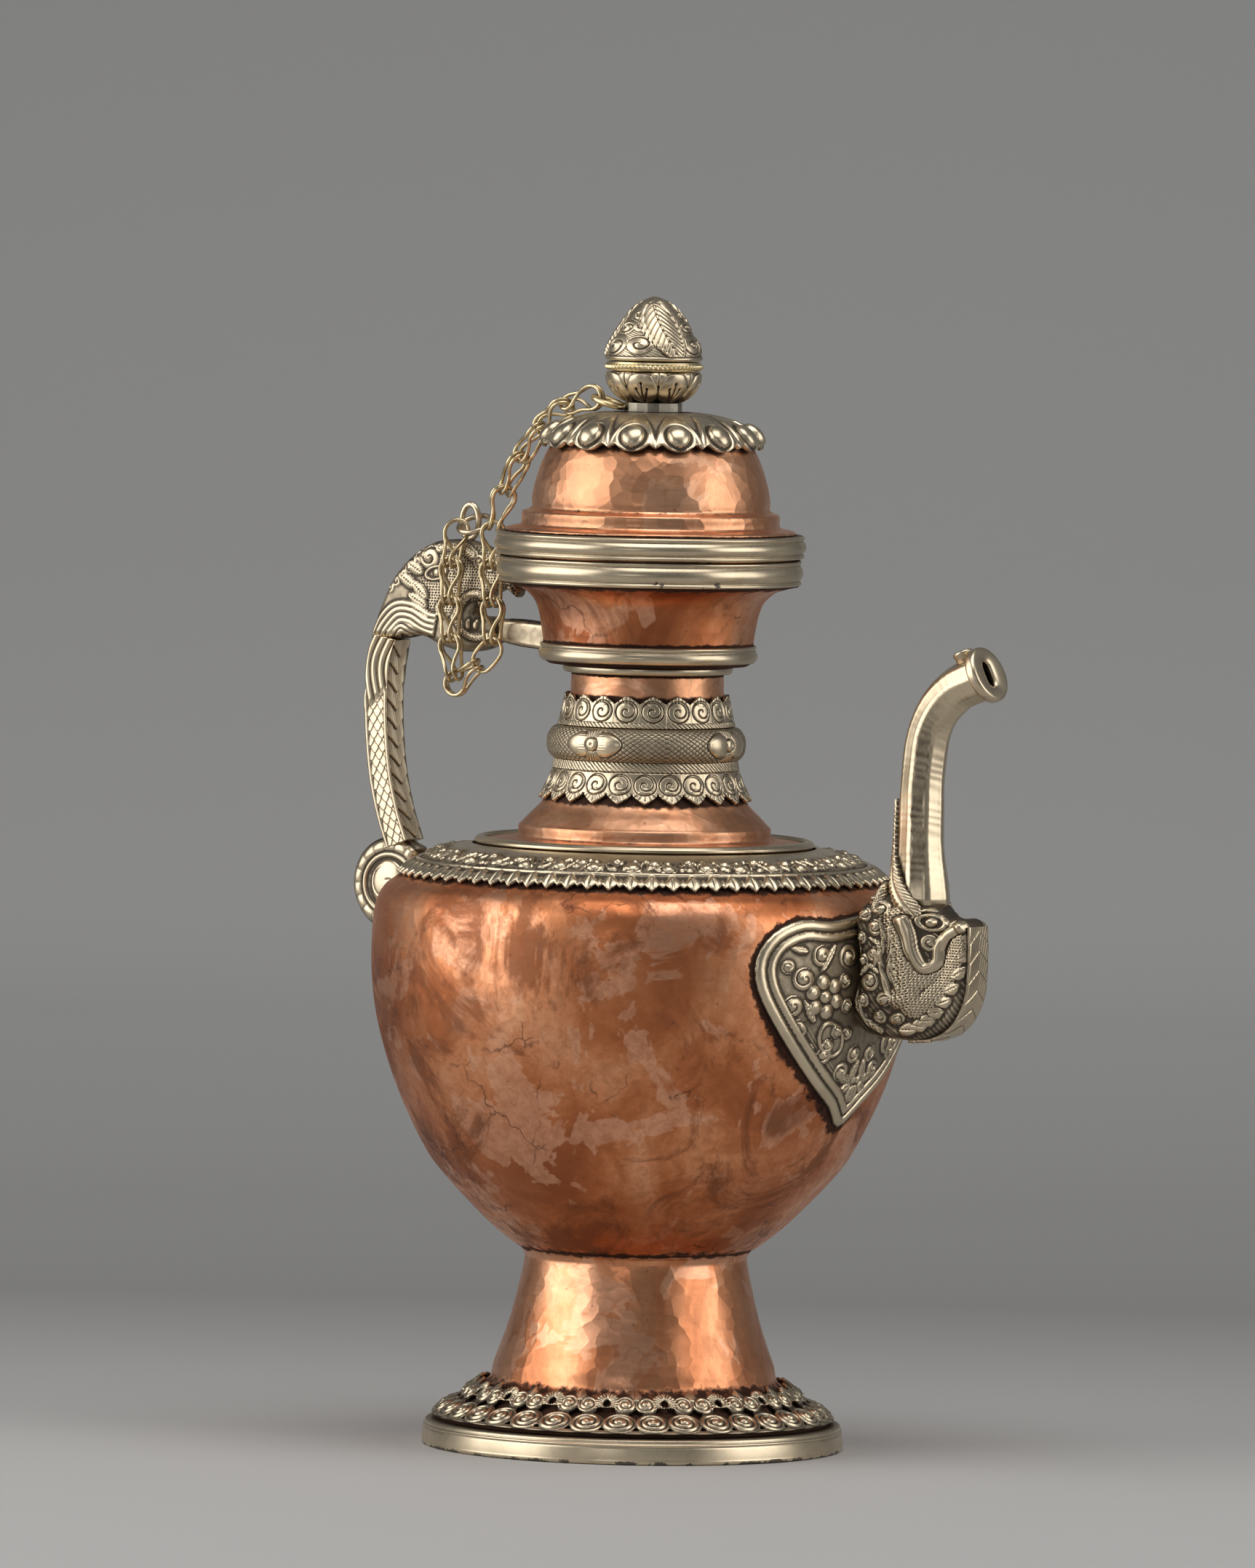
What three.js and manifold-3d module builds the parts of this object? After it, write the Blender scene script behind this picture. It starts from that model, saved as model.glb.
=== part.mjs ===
import * as THREE from "three";
import { mergeVertices } from "three/addons/utils/BufferGeometryUtils.js";
import Module from "manifold-3d";

const wasm = await Module();
wasm.setup();

// Millimetres. The ewer stands on z = 0 with its turning axis upright.
// The spout points along +X and the handle stands on the -X side.

// Sheet and seating
const sheetWall = 1.3;
const appliedWall = 1.2;
const seatGap = 0.02;
const fitGap = 0.3;
const cutGap = 0.02;
const turnedSteps = 24;
const wideSteps = 32;
const footSteps = 36;
const ballSteps = 10;
const ballRings = 6;
const wireSteps = 16;
const wireSides = 5;
const wirePoints = 12;
const boreSteps = 8;
const boreSegments = 4;
const roundBevelSteps = 3;
const plainBevelSteps = 1;
const weldTolerance = 0.001;
const halfShare = 0.5;
const quarterTurn = Math.PI / 2;
const fullTurn = Math.PI * 2;
const degree = Math.PI / 180;

// Heights of the joints between the turned pieces
const footBandTop = 9;
const coneTop = 71;
const coneTopRadius = 41.4;
const neckBase = 215.3;
const neckTop = 277;
const cupBase = 280;
const cupTop = 309;
const mouthBandTop = 318.3;
const lidBandBase = 318.7;
const lidBandTop = 327;
const domeTop = 370.2;
const washerBase = 370.3;
const washerTop = 373.4;
const lotusTop = 384.6;
const cordBandTop = 388.2;
const finialTip = 411.3;

// Foot: band section, outside of the scroll collar, and the cone above it
const footBandProfile = [
  [69.6, 0], [74.9, 0], [75.4, 0.8], [75.4, 6.2], [74.8, 7], [74.9, 8], [73.4, footBandTop],
  [69.6, footBandTop],
];
const scrollCollarProfile = [
  [72.4, 10.8], [67.3, 14.1], [62.5, 16.9], [56.7, 22.3], [52.9, 25], [51.7, 30.4],
];
const coneRise = [[48.2, 34.8], [44.7, 45.2], [42.1, 55.6], [39.8, 66.6], [41, 70.2]];
const skirtRadius = 70.4;
const collarPeaks = 18;
const collarValleyDepth = 3.4;
const collarValleyFlare = 0.9;
const scrollRiseOut = 0.8;
const scrollRiseUp = 0.7;
const diamondSize = 1.9;
const diamondHeight = 24.4;
const diamondReach = 12;
const diamondSides = 4;

// Body: the bowl up to its shoulder, and the outside of the collar on the shoulder
const bowlRise = [
  [coneTopRadius, coneTop], [45.6, 73.8], [54.9, 81.6], [69.8, 97.2], [77.2, 107.6], [87.1, 128.4],
  [93.6, 149], [96.3, 166], [96.6, 182], [95.6, 192.6], [92.8, 198.8], [88.6, 202.3],
];
const shoulderCollarProfile = [
  [87.4, 204], [79.4, 209.8], [71.9, 213], [66.3, 214.6], [61.8, 215.5],
];
const leafRiseOut = 0.2;
const leafRiseUp = 0.8;
const bowlSeam = 190.2;
const shoulderSeat = 57.6;
const bowlNeckRadius = 44;
const shoulderRingProfile = [
  [57.7, 215.4], [61, 216], [61, 217.2], [59.6, 218.2], [57.7, 218],
];

// Neck: stepped base, then the outsides of the two collars and the knop between them
const neckStep = [
  [57.2, neckBase], [57.2, 216.7], [46, 218.2], [45.2, 219.2], [45.2, 222.2], [41, 227],
  [37.2, 230.2],
];
const neckSeam = 252;
const lowerCollarPetals = 24;
const lowerCollarProfile = [
  [37.2, 232], [35.4, 235.4], [33.4, 240.4], [31.9, 245.8],
];
const lowerPetalDrop = 1.2;
const lowerPetalFlare = 1.1;
const knopProfile = [
  [30.8, 246], [33.4, 246.3], [35.5, 249.2], [35.8, 252.4], [34.4, 256.4], [31.6, 258.2], [30.8, 258.2],
];
const upperCollarPeaks = 20;
const upperCollarProfile = [
  [31.8, 258.7], [30.5, 263], [28.8, 268.4],
];
const upperPeakRise = 1.8;
const neckTubeRadius = 27.2;

// Mouth cup
const cupUnderRingProfile = [
  [24.6, neckTop], [29.6, neckTop], [30.8, 278.2], [29.8, cupBase - seatGap], [24.6, cupBase - seatGap],
];
const cupProfile = [
  [35.4, cupBase], [37.3, 281.4], [37.5, 287.6], [38.7, 294.8], [39.8, 300], [43.3, 305.2],
  [49.8, 307.5], [53.4, 308], [53.6, cupTop],
];
const cupFloorRadius = 24.6;
const cupLipRadius = 50.6;
const cupBaseBandProfile = [
  [37.8, 281.8], [38.9, 281.1], [39.4, 282.3], [39.4, 285.4], [38.6, 286.4], [38.7, 287.2], [37.8, 287.4],
];
const mouthBandProfile = [
  [51.6, cupTop + seatGap], [53.8, cupTop + seatGap], [54.9, 310.6], [54.9, 316.6],
  [53.8, mouthBandTop], [51.6, mouthBandTop],
];

// Lid: band, dome, spigot and the outside of the petal collar on the crown
const lidBandProfile = [
  [51.1, lidBandBase], [54.8, lidBandBase], [55.8, 320.4], [55.8, 325.4], [54.6, lidBandTop],
  [51.1, lidBandTop],
];
const domeStep = [
  [52, lidBandTop + seatGap], [52, 328.4], [46.6, 329.4], [46, 333.4], [42.6, 336], [42.2, 340],
  [40.6, 347], [38.2, 355],
];
const lidCollarProfile = [
  [38.9, 357.6], [36.6, 362.2], [33, 365.2], [27.6, 367.8], [20.6, 370.1],
];
const domeCrown = [[11, domeTop], [4.4, domeTop]];
const domePinRadius = 2.62;
const spigotOuter = 51;
const spigotInner = 49.7;
const spigotBase = 310.8;
const lidCollarPetals = 14;
const lidPetalRise = 2.2;

// Finial
const washerRadius = 10.5;
const washerBore = 2.7;
const finialSteps = 16;
const pinRadius = 2.4;
const pinHeadRadius = 5.4;
const pinHeadBase = 366.6;
const pinHeadTop = 368.8;
const pinTop = 376.4;
const pinSocketRadius = 2.5;
const lotusGap = 0.1;
const lotusProfile = [
  [8.4, washerTop + lotusGap], [12.2, 375], [14.8, 378], [16.5, 380.6], [17.2, 382.6],
  [17, lotusTop - seatGap],
];
const cordBandProfile = [
  [16.9, lotusTop], [17.7, 385.2], [17.9, 386.4], [17.6, 387.6], [16.9, cordBandTop - seatGap],
];
const budProfile = [
  [16.7, cordBandTop], [17.5, 389.4], [17.3, 391], [16.6, 393.6], [15.2, 396.2], [13.7, 398.8],
  [12, 401.4], [10.2, 404], [7.9, 406.6], [4.6, 409.4],
];

// Handle, as outlines seen from the side: distance from the axis, then height
const gripPath = [
  [103, 211.4], [107.2, 222], [110.6, 235], [112.6, 250], [113.2, 264], [112.4, 276], [110.4, 284.6],
];
const gripDepth = 10.6;
const gripRoot = [101.6, 208];
const gripWidth = 11;
const gripChamfer = 2;
const gripSteps = 12;
const headOutline = [
  [116.4, 284.9], [115.8, 291], [112.6, 299], [108.6, 306.6], [103.4, 312.6], [97, 317.6], [90, 320.6],
  [83, 321.6], [76, 321.4], [69, 319.6], [62.6, 316.8], [58.4, 313.8], [56.2, 310.2], [54, 305.6],
  [55.4, 301.6], [59.6, 304.4], [64, 303], [68.6, 299.4], [71.6, 295.4], [68.4, 294.4],
  [62.6, 294], [62, 289], [63.4, 284.6], [70, 282], [79, 281.4], [88, 283.4], [96, 286.4],
  [104.4, 284.9],
];
const headHalfWidth = 5.5;
const headBevel = 2.2;
const tongueOutline = [
  [62, 293.4], [54, 293.8], [46, 293.2], [36, 292.6], [36, 283], [46, 283.6], [54, 284.4], [61.4, 286],
  [61.9, 289],
];
const tongueHalfWidth = 4;
const tongueBevel = 1.2;
const voluteCentre = [106.4, 196.4];
const voluteRadius = 17;
const voluteHalfWidth = 6.6;
const voluteRimRadius = 3;
const voluteBossRadius = 8.6;
const voluteBossHeight = 2.6;
const voluteBossShare = 0.8;
const voluteSteps = 16;
const eyeCentre = [77.3, 328.2];
const eyeHalfWidth = 3.6;
const eyeHalfHeight = 6.1;
const eyeWire = 1.1;

// Spout
const plateOutline = [
  [0, 119], [10, 126.5], [22.4, 135], [34.7, 146], [44.8, 158], [51.5, 170], [52.2, 181], [46, 190],
  [34.7, 194.4], [22.4, 193.6], [11, 194.8], [0, 195.6],
];
const plateWall = 1.6;
const plateReach = 110;
const spoutHeadOutline = [
  [90, 161.3], [93, 156.3], [99, 153.3], [108, 152.2], [117, 152], [125, 152.9], [131.6, 155.9],
  [136.4, 160.7], [139.6, 167.8], [140.8, 176.1], [141, 185.4], [140.4, 193.4], [137.8, 195.8],
  [134, 195.4], [130.4, 196.4], [128.8, 200.3], [127.2, 204.7], [125.6, 208.4], [107.6, 208.4],
  [104, 205.9], [100.6, 201.4], [97, 198.6], [90, 197.6],
];
const snoutHalfWidth = 7.4;
const snoutBevel = 2;
const cheekOutline = [
  [90, 165], [94, 160.3], [102, 159.4], [111, 164.1], [118, 170.6], [124, 178.9], [126, 188.2],
  [124.4, 197.3], [121, 203.1], [115, 206.4], [107, 205.2], [100, 200.9], [90, 196.4],
];
const cheekHalfWidth = 12.6;
const cheekBevel = 5;
const spoutBorePath = [[84, 171], [97, 174.4], [107, 181], [113.6, 191], [116.6, 201], [117, 212]];
const spoutBoreRadius = 4.6;
const spoutPath = [
  [116.9, 208.44], [116.9, 212], [116.6, 220], [116.5, 232], [116.9, 247], [118.8, 260], [123.2, 269.6],
  [130.8, 276.8], [140.4, 281.2],
];
const spoutHalfDepth = 8.6;
const spoutHalfWidth = 8;
const spoutTubeBore = 5.6;
const spoutSteps = 13;
const facetWidthShare = 0.74;
const facetDepthShare = 0.66;
const tipRingRadius = 8.4;
const tipRingWire = 1.9;
const tipRingCentre = [142.2, 282.06];
const tipLean = 25 * degree;
const tipBossCentre = [133.4, 287.4];
const tipBossRadius = 3.6;
const tipBossRise = 0.8;

// Chain of folded wire links
const wireRadius = 0.7;
const eyeRadius = 4.2;
const hookSpread = 1.5;
const eyeOffset = 0.9;
const hookRadius = 3.1;
const linkPitch = 13.7;
const hookDrop = 0.34;
const ringHookDrop = 1;
const joiningLength = 5.5;
const chainPlane = -9.9;
const linkSteps = 28;
const linkSides = 4;
const eyeArcShares = [[-1, 0], [-0.87, 0.5], [-0.5, 0.87], [0, 1]];
const eyeEndShares = [0.5, 0.9];
const eyeEndFlare = 0.1;
const waistShares = [0.5, 0.62];
const throatShares = [0.78, 1.18, 0.93];
const hookTurnShare = 0.71;
const finialEyeSeat = [-18.4, 375.1];
const finialEyeRootDrop = 3.4;
const handleRingSeat = [-78.1, 325.9];
const finialEyeGrip = 1.3;
const handleRingGrip = 1.2;
const fallLeans = [-163.97, -143.62, -128.03, -118.04, -107.88, -92.62, -85.71, -90.51];
const fallRolls = [0, 56, 88, 76, 52, 26, 0, 0];
const joiningLean = -133.83;
const riseLeans = [-92.01, -90.85, -87.72, -78.65, 37.46];
const firstRiseTilt = 0.25;
const firstRiseRoll = 30;
const finialEyeWire = 1.1;
const finialEyeMiddle = -9.7;
const finialEyeHalfLength = 5.8;
const finialEyeHalfWidth = 4.2;
const handleRingRadius = 6;
const handleRingWire = 1;
const handleRingCentre = [-73.36, -2.8, 327.4];
const handleRingTilt = 0.5;

// Finishes
const copper = { color: 0xa8643f, roughness: 0.34, metalness: 1 };
const paleMetal = { color: 0xb9b2a0, roughness: 0.36, metalness: 1 };
const gilt = { color: 0xc2a876, roughness: 0.32, metalness: 1 };
const chainWire = { color: 0xb59a66, roughness: 0.34, metalness: 1 };
const steel = { color: 0x8a8580, roughness: 0.42, metalness: 1 };

const ewer = new THREE.Group();

function addPiece(name, geometry, finish) {
  const material = new THREE.MeshStandardMaterial(finish);
  const mesh = new THREE.Mesh(geometry, material);
  mesh.name = name;
  ewer.add(mesh);
  return mesh;
}

// A closed mesh of shared vertices whose faces look outward
function closedMesh(geometry) {
  const bare = geometry.clone();
  bare.deleteAttribute("normal");
  bare.deleteAttribute("uv");
  const merged = mergeVertices(bare, weldTolerance);
  const places = merged.attributes.position;
  const order = merged.index.array;
  const kept = [];
  let volume = 0;
  const a = new THREE.Vector3();
  const b = new THREE.Vector3();
  const c = new THREE.Vector3();
  for (let i = 0; i < order.length; i += 3) {
    const corners = [order[i], order[i + 1], order[i + 2]];
    const distinct = new Set(corners).size === corners.length;
    if (distinct) {
      kept.push(...corners);
      a.fromBufferAttribute(places, corners[0]);
      b.fromBufferAttribute(places, corners[1]);
      c.fromBufferAttribute(places, corners[2]);
      volume += a.dot(b.cross(c));
    }
  }
  if (volume < 0) {
    for (let i = 0; i < kept.length; i += 3) {
      const first = kept[i];
      kept[i] = kept[i + 1];
      kept[i + 1] = first;
    }
  }
  const result = new THREE.BufferGeometry();
  result.setAttribute("position", places.clone());
  result.setIndex(kept);
  return result;
}

function toSolid(geometry) {
  const closed = closedMesh(geometry);
  return new wasm.Manifold(new wasm.Mesh({
    numProp: 3,
    vertProperties: new Float32Array(closed.attributes.position.array),
    triVerts: new Uint32Array(closed.index.array),
  }));
}

function fromSolid(solid) {
  const mesh = solid.getMesh();
  const geometry = new THREE.BufferGeometry();
  geometry.setAttribute("position", new THREE.BufferAttribute(new Float32Array(mesh.vertProperties), 3));
  geometry.setIndex(Array.from(mesh.triVerts));
  return geometry;
}

function cut(geometry, ...tools) {
  let solid = toSolid(geometry);
  for (const tool of tools) {
    solid = solid.subtract(toSolid(tool));
  }
  return fromSolid(solid);
}

function join(geometry, ...others) {
  let solid = toSolid(geometry);
  for (const other of others) {
    solid = solid.add(toSolid(other));
  }
  return fromSolid(solid);
}

// Turned forms: a profile of radius and height swept round the upright axis
function turned(profile, steps = turnedSteps) {
  const points = profile.map(([radius, height]) => new THREE.Vector2(radius, height));
  const geometry = new THREE.LatheGeometry(points, steps);
  geometry.rotateX(Math.PI / 2);
  return closedMesh(geometry);
}

function closedRing(profile, steps = turnedSteps) {
  return turned([...profile, profile[0]], steps);
}

// The same profile moved square to itself by a distance; minus is toward the axis
function offsetProfile(profile, distance) {
  return profile.map(([radius, height], i) => {
    const before = profile[Math.max(i - 1, 0)];
    const after = profile[Math.min(i + 1, profile.length - 1)];
    const run = after[0] - before[0];
    const rise = after[1] - before[1];
    const length = Math.hypot(run, rise);
    return [radius + distance * rise / length, height - distance * run / length];
  });
}

// Sheet of even wall between a profile and its inner copy
function sheetRing(profile, wall, steps = turnedSteps) {
  const inner = offsetProfile(profile, -wall).reverse();
  return closedRing([...profile, ...inner], steps);
}

// The same sheet with level end faces, for sheets that stand on their neighbours
function levelSheet(profile, wall, steps = turnedSteps) {
  const inner = thinned(offsetProfile(profile, -wall)).reverse();
  inner[0][1] = profile.at(-1)[1];
  inner[inner.length - 1][1] = profile[0][1];
  return closedRing([...profile, ...inner], steps);
}

// Every second point of a profile, with its two ends
function thinned(profile) {
  return profile.filter((_, i) => i % 2 === 0 || i === profile.length - 1);
}

// Drops or lifts every second point of an edge ring so that it becomes a row of points
function pointedEdge(geometry, edgeHeight, reach, shift, points, flare = 0) {
  const places = geometry.attributes.position;
  const turn = Math.PI / points;
  for (let i = 0; i < places.count; i += 1) {
    const height = places.getZ(i);
    if (Math.abs(height - edgeHeight) < reach) {
      const angle = Math.atan2(places.getY(i), places.getX(i));
      const step = Math.round(angle / turn);
      if (step % 2 === 0) {
        const radius = Math.hypot(places.getX(i), places.getY(i));
        places.setXYZ(
          i,
          places.getX(i) * (radius + flare) / radius,
          places.getY(i) * (radius + flare) / radius,
          height + shift,
        );
      }
    }
  }
  return geometry;
}

// Lifts every second line of points on a sheet's outer face, so that low ribs run up it
function ribbed(geometry, profile, points, riseOut, riseUp) {
  const places = geometry.attributes.position;
  const turn = Math.PI / points;
  const faceRows = profile.slice(1, -1);
  for (let i = 0; i < places.count; i += 1) {
    const radius = Math.hypot(places.getX(i), places.getY(i));
    const height = places.getZ(i);
    const isFace = faceRows.some(
      ([rowRadius, rowHeight]) => Math.hypot(rowRadius - radius, rowHeight - height) < seatGap,
    );
    const step = Math.round(Math.atan2(places.getY(i), places.getX(i)) / turn);
    if (isFace && step % 2 === 0) {
      places.setXYZ(
        i,
        places.getX(i) * (radius + riseOut) / radius,
        places.getY(i) * (radius + riseOut) / radius,
        height + riseUp,
      );
    }
  }
  return geometry;
}

// Slab with rounded edges cut from a side outline, standing in the plane of the handle and spout
function sideSlab(outline, side, halfWidth, bevel, bevelSteps = 2) {
  const corners = outline.map(([radius, height]) => new THREE.Vector2(side * radius, height));
  const shape = new THREE.Shape(corners);
  const geometry = new THREE.ExtrudeGeometry(shape, {
    depth: (halfWidth - bevel) * 2,
    bevelEnabled: true,
    bevelThickness: bevel,
    bevelSize: bevel,
    bevelOffset: -bevel,
    bevelSegments: bevelSteps,
  });
  geometry.translate(0, 0, bevel - halfWidth);
  geometry.rotateX(Math.PI / 2);
  return closedMesh(geometry);
}

function sidePath(points, side) {
  const places = points.map(([radius, height]) => new THREE.Vector3(side * radius, 0, height));
  return new THREE.CatmullRomCurve3(places, false, "centripetal");
}

// Closed wire: a ring of sides carried along a closed curve
function closedWire(points, radius, steps, sides) {
  const curve = new THREE.CatmullRomCurve3(points, true, "centripetal");
  const frames = curve.computeFrenetFrames(steps, true);
  const geometry = new THREE.TorusGeometry(eyeRadius, radius, sides, steps);
  const places = geometry.attributes.position;
  for (let side = 0; side <= sides; side += 1) {
    for (let step = 0; step <= steps; step += 1) {
      const place = curve.getPointAt((step % steps) / steps);
      const turn = (side % sides) / sides * fullTurn;
      place.addScaledVector(frames.normals[step % steps], Math.cos(turn) * radius);
      place.addScaledVector(frames.binormals[step % steps], Math.sin(turn) * radius);
      places.setXYZ(side * (steps + 1) + step, place.x, place.y, place.z);
    }
  }
  return closedMesh(geometry);
}

// Foot: hammered cone on a heavy rim band, with a pierced scroll collar round its skirt
const underCollar = -(appliedWall + fitGap);
const footConeProfile = [
  [skirtRadius, footBandTop + seatGap],
  ...offsetProfile(scrollCollarProfile, underCollar).slice(1),
  ...coneRise,
  [coneTopRadius, coneTop - seatGap],
];
addPiece("foot_rim_band", closedRing(footBandProfile, footSteps), paleMetal);
addPiece("foot_cone", levelSheet(footConeProfile, sheetWall, footSteps), copper);

const collarRing = sheetRing(scrollCollarProfile, appliedWall, collarPeaks * 2);
const collarScrolls = ribbed(collarRing, scrollCollarProfile, collarPeaks, scrollRiseOut, scrollRiseUp);
const collarTop = scrollCollarProfile.at(-1)[1];
const scrollCollar = pointedEdge(
  collarScrolls, collarTop, appliedWall, -collarValleyDepth, collarPeaks, collarValleyFlare,
);
const diamondTools = [];
for (let i = 0; i < collarPeaks; i += 1) {
  const tool = new THREE.CylinderGeometry(diamondSize, diamondSize, diamondReach, diamondSides);
  tool.rotateZ(quarterTurn);
  tool.translate(scrollCollarProfile[3][0], 0, diamondHeight);
  tool.rotateZ((i + halfShare) / collarPeaks * fullTurn);
  diamondTools.push(tool);
}
addPiece("foot_scroll_collar", cut(scrollCollar, ...diamondTools), paleMetal);

// Body: one raised bowl with a rounded shoulder, closed below and open to the neck
const bowlProfile = [
  ...bowlRise,
  ...offsetProfile(shoulderCollarProfile, underCollar),
  [shoulderSeat, neckBase - seatGap],
];
const bowlFloor = bowlProfile[0][1];
const bowlInner = thinned(offsetProfile(bowlProfile, -sheetWall)).reverse();
const bowl = turned([
  [0, bowlFloor],
  ...bowlProfile,
  [bowlNeckRadius, neckBase - seatGap],
  [bowlNeckRadius, neckBase - sheetWall],
  ...bowlInner.slice(1, -1),
  [bowlInner.at(-1)[0], bowlFloor + sheetWall],
  [0, bowlFloor + sheetWall],
], wideSteps);
const spoutBore = new THREE.ExtrudeGeometry(
  new THREE.Shape().absarc(0, 0, spoutBoreRadius, 0, fullTurn),
  {
    extrudePath: sidePath(spoutBorePath, 1),
    steps: boreSteps,
    curveSegments: boreSegments,
    bevelEnabled: false,
  },
);
const bowlAbove = turned([
  [0, bowlSeam], [plateReach, bowlSeam], [plateReach, neckTop], [0, neckTop],
], wideSteps);
const bowlBelow = turned([
  [0, 0], [plateReach, 0], [plateReach, bowlSeam + seatGap], [0, bowlSeam + seatGap],
], wideSteps);
addPiece("body_bowl", cut(bowl, spoutBore, bowlAbove), copper);
addPiece("body_shoulder", cut(bowl, bowlBelow), copper);
const bodyEnvelope = turned([
  [0, bowlFloor],
  ...offsetProfile(bowlProfile, cutGap),
  [0, neckBase],
], wideSteps);
addPiece("shoulder_collar", ribbed(
  sheetRing(shoulderCollarProfile, appliedWall, wideSteps),
  shoulderCollarProfile, wideSteps / 2, leafRiseOut, leafRiseUp,
), paleMetal);
addPiece("shoulder_ring", closedRing(shoulderRingProfile, wideSteps), paleMetal);

// Neck: stepped base, cone and tube in one sheet, dressed by two collars and a knop
const neckBore = knopProfile[0][0] - fitGap;
const neckProfile = [
  ...neckStep,
  ...offsetProfile(lowerCollarProfile, underCollar).slice(0, -1),
  [neckBore, knopProfile[0][1] - appliedWall],
  [neckBore, knopProfile.at(-1)[1] + seatGap],
  ...offsetProfile(upperCollarProfile, underCollar).slice(1),
  [neckTubeRadius, neckTop - seatGap],
];
const neckInner = thinned(offsetProfile(neckProfile, -sheetWall).slice(3)).reverse();
const neckShell = closedRing([
  ...neckProfile,
  ...neckInner,
  [bowlNeckRadius, neckStep[2][1] - sheetWall],
  [bowlNeckRadius, neckBase],
]);
const neckAbove = turned([[0, neckSeam], [plateReach, neckSeam], [plateReach, cupTop], [0, cupTop]]);
const neckBelow = turned([
  [0, 0], [plateReach, 0], [plateReach, neckSeam + seatGap], [0, neckSeam + seatGap],
]);
addPiece("neck_cone", cut(neckShell, neckAbove), copper);
addPiece("neck_tube", cut(neckShell, neckBelow), copper);
addPiece("neck_lower_collar", pointedEdge(
  sheetRing(lowerCollarProfile, appliedWall, lowerCollarPetals * 2),
  lowerCollarProfile[0][1], appliedWall, -lowerPetalDrop, lowerCollarPetals, lowerPetalFlare,
), paleMetal);
addPiece("neck_knop", closedRing(knopProfile), paleMetal);
addPiece("neck_upper_collar", pointedEdge(
  sheetRing(upperCollarProfile, appliedWall, upperCollarPeaks * 2),
  upperCollarProfile.at(-1)[1], appliedWall, upperPeakRise, upperCollarPeaks,
), paleMetal);

// Mouth cup between its under ring, base band and wide rim band
addPiece("cup_under_ring", closedRing(cupUnderRingProfile, wideSteps), paleMetal);
const cupInner = thinned(offsetProfile(cupProfile.slice(2, -2), -sheetWall)).reverse();
addPiece("mouth_cup", closedRing([
  ...cupProfile,
  [cupLipRadius, cupTop],
  ...cupInner,
  [cupProfile[0][0], cupBase + sheetWall],
  [cupFloorRadius, cupBase + sheetWall],
  [cupFloorRadius, cupBase],
], wideSteps), copper);
const cupEnvelope = turned([
  [0, cupBase],
  ...offsetProfile(cupProfile, cutGap),
  [0, cupTop],
], wideSteps);
addPiece("cup_base_band", closedRing(cupBaseBandProfile, wideSteps), paleMetal);
addPiece("mouth_rim_band", closedRing(mouthBandProfile, wideSteps), paleMetal);

// Lid: stepped dome on a rim band, with a spigot that drops inside the mouth
addPiece("lid_rim_band", closedRing(lidBandProfile), paleMetal);
const lidDomeProfile = [
  ...domeStep,
  ...offsetProfile(lidCollarProfile, underCollar),
  ...domeCrown,
];
const domeInner = thinned(offsetProfile(lidDomeProfile, -sheetWall).slice(2, -2)).reverse();
addPiece("lid_dome", closedRing([
  ...lidDomeProfile,
  [domePinRadius, domeTop],
  [domePinRadius, domeTop - sheetWall],
  [domeCrown[0][0], domeTop - sheetWall],
  ...domeInner,
  [spigotInner, lidBandTop + seatGap],
]), copper);
addPiece("lid_spigot", closedRing([
  [spigotInner, spigotBase], [spigotOuter, spigotBase],
  [spigotOuter, lidBandTop], [spigotInner, lidBandTop],
]), copper);
addPiece("lid_petal_collar", pointedEdge(
  sheetRing(lidCollarProfile, appliedWall, lidCollarPetals * 2),
  lidCollarProfile[0][1], appliedWall, lidPetalRise, lidCollarPetals, -lidPetalRise / 2,
), paleMetal);

// Finial: lotus, cord band and bud on a peened pin that runs down through the washer and dome
addPiece("finial_pin", turned([
  [0, pinHeadBase], [pinHeadRadius, pinHeadBase], [pinHeadRadius, pinHeadTop], [pinRadius, pinHeadTop],
  [pinRadius, pinTop], [0, pinTop],
], finialSteps), steel);
addPiece("finial_lotus", turned([
  [pinSocketRadius, washerTop + lotusGap],
  ...lotusProfile,
  [0, lotusTop - seatGap],
  [0, pinTop + cutGap],
  [pinSocketRadius, pinTop + cutGap],
  [pinSocketRadius, washerTop + lotusGap],
], finialSteps), paleMetal);
addPiece("finial_cord_band", turned([
  [0, lotusTop], ...cordBandProfile, [0, cordBandTop - seatGap],
], finialSteps), gilt);
addPiece("finial_bud", turned([
  [0, cordBandTop], ...budProfile, [0, finialTip],
], finialSteps), paleMetal);

// Handle: cast scroll foot, bar grip and beast head that bites a tongue on the cup
const gripShape = new THREE.Shape([
  [-gripWidth / 2, -gripDepth / 2 + gripChamfer], [-gripWidth / 2 + gripChamfer, -gripDepth / 2],
  [gripWidth / 2 - gripChamfer, -gripDepth / 2], [gripWidth / 2, -gripDepth / 2 + gripChamfer],
  [gripWidth / 2, gripDepth / 2 - gripChamfer], [gripWidth / 2 - gripChamfer, gripDepth / 2],
  [-gripWidth / 2 + gripChamfer, gripDepth / 2], [-gripWidth / 2, gripDepth / 2 - gripChamfer],
].map(([across, deep]) => new THREE.Vector2(across, deep)));
const grip = new THREE.ExtrudeGeometry(gripShape, {
  extrudePath: sidePath(gripPath, -1), steps: gripSteps, bevelEnabled: false,
});
const head = sideSlab(headOutline, -1, headHalfWidth, headBevel);
const headEnvelope = sideSlab(
  headOutline, -1, headHalfWidth + cutGap, headBevel,
);
addPiece("handle_grip", cut(grip, headEnvelope), paleMetal);
addPiece("handle_head", head, paleMetal);
const tongue = sideSlab(tongueOutline, -1, tongueHalfWidth, tongueBevel, plainBevelSteps);
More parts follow.
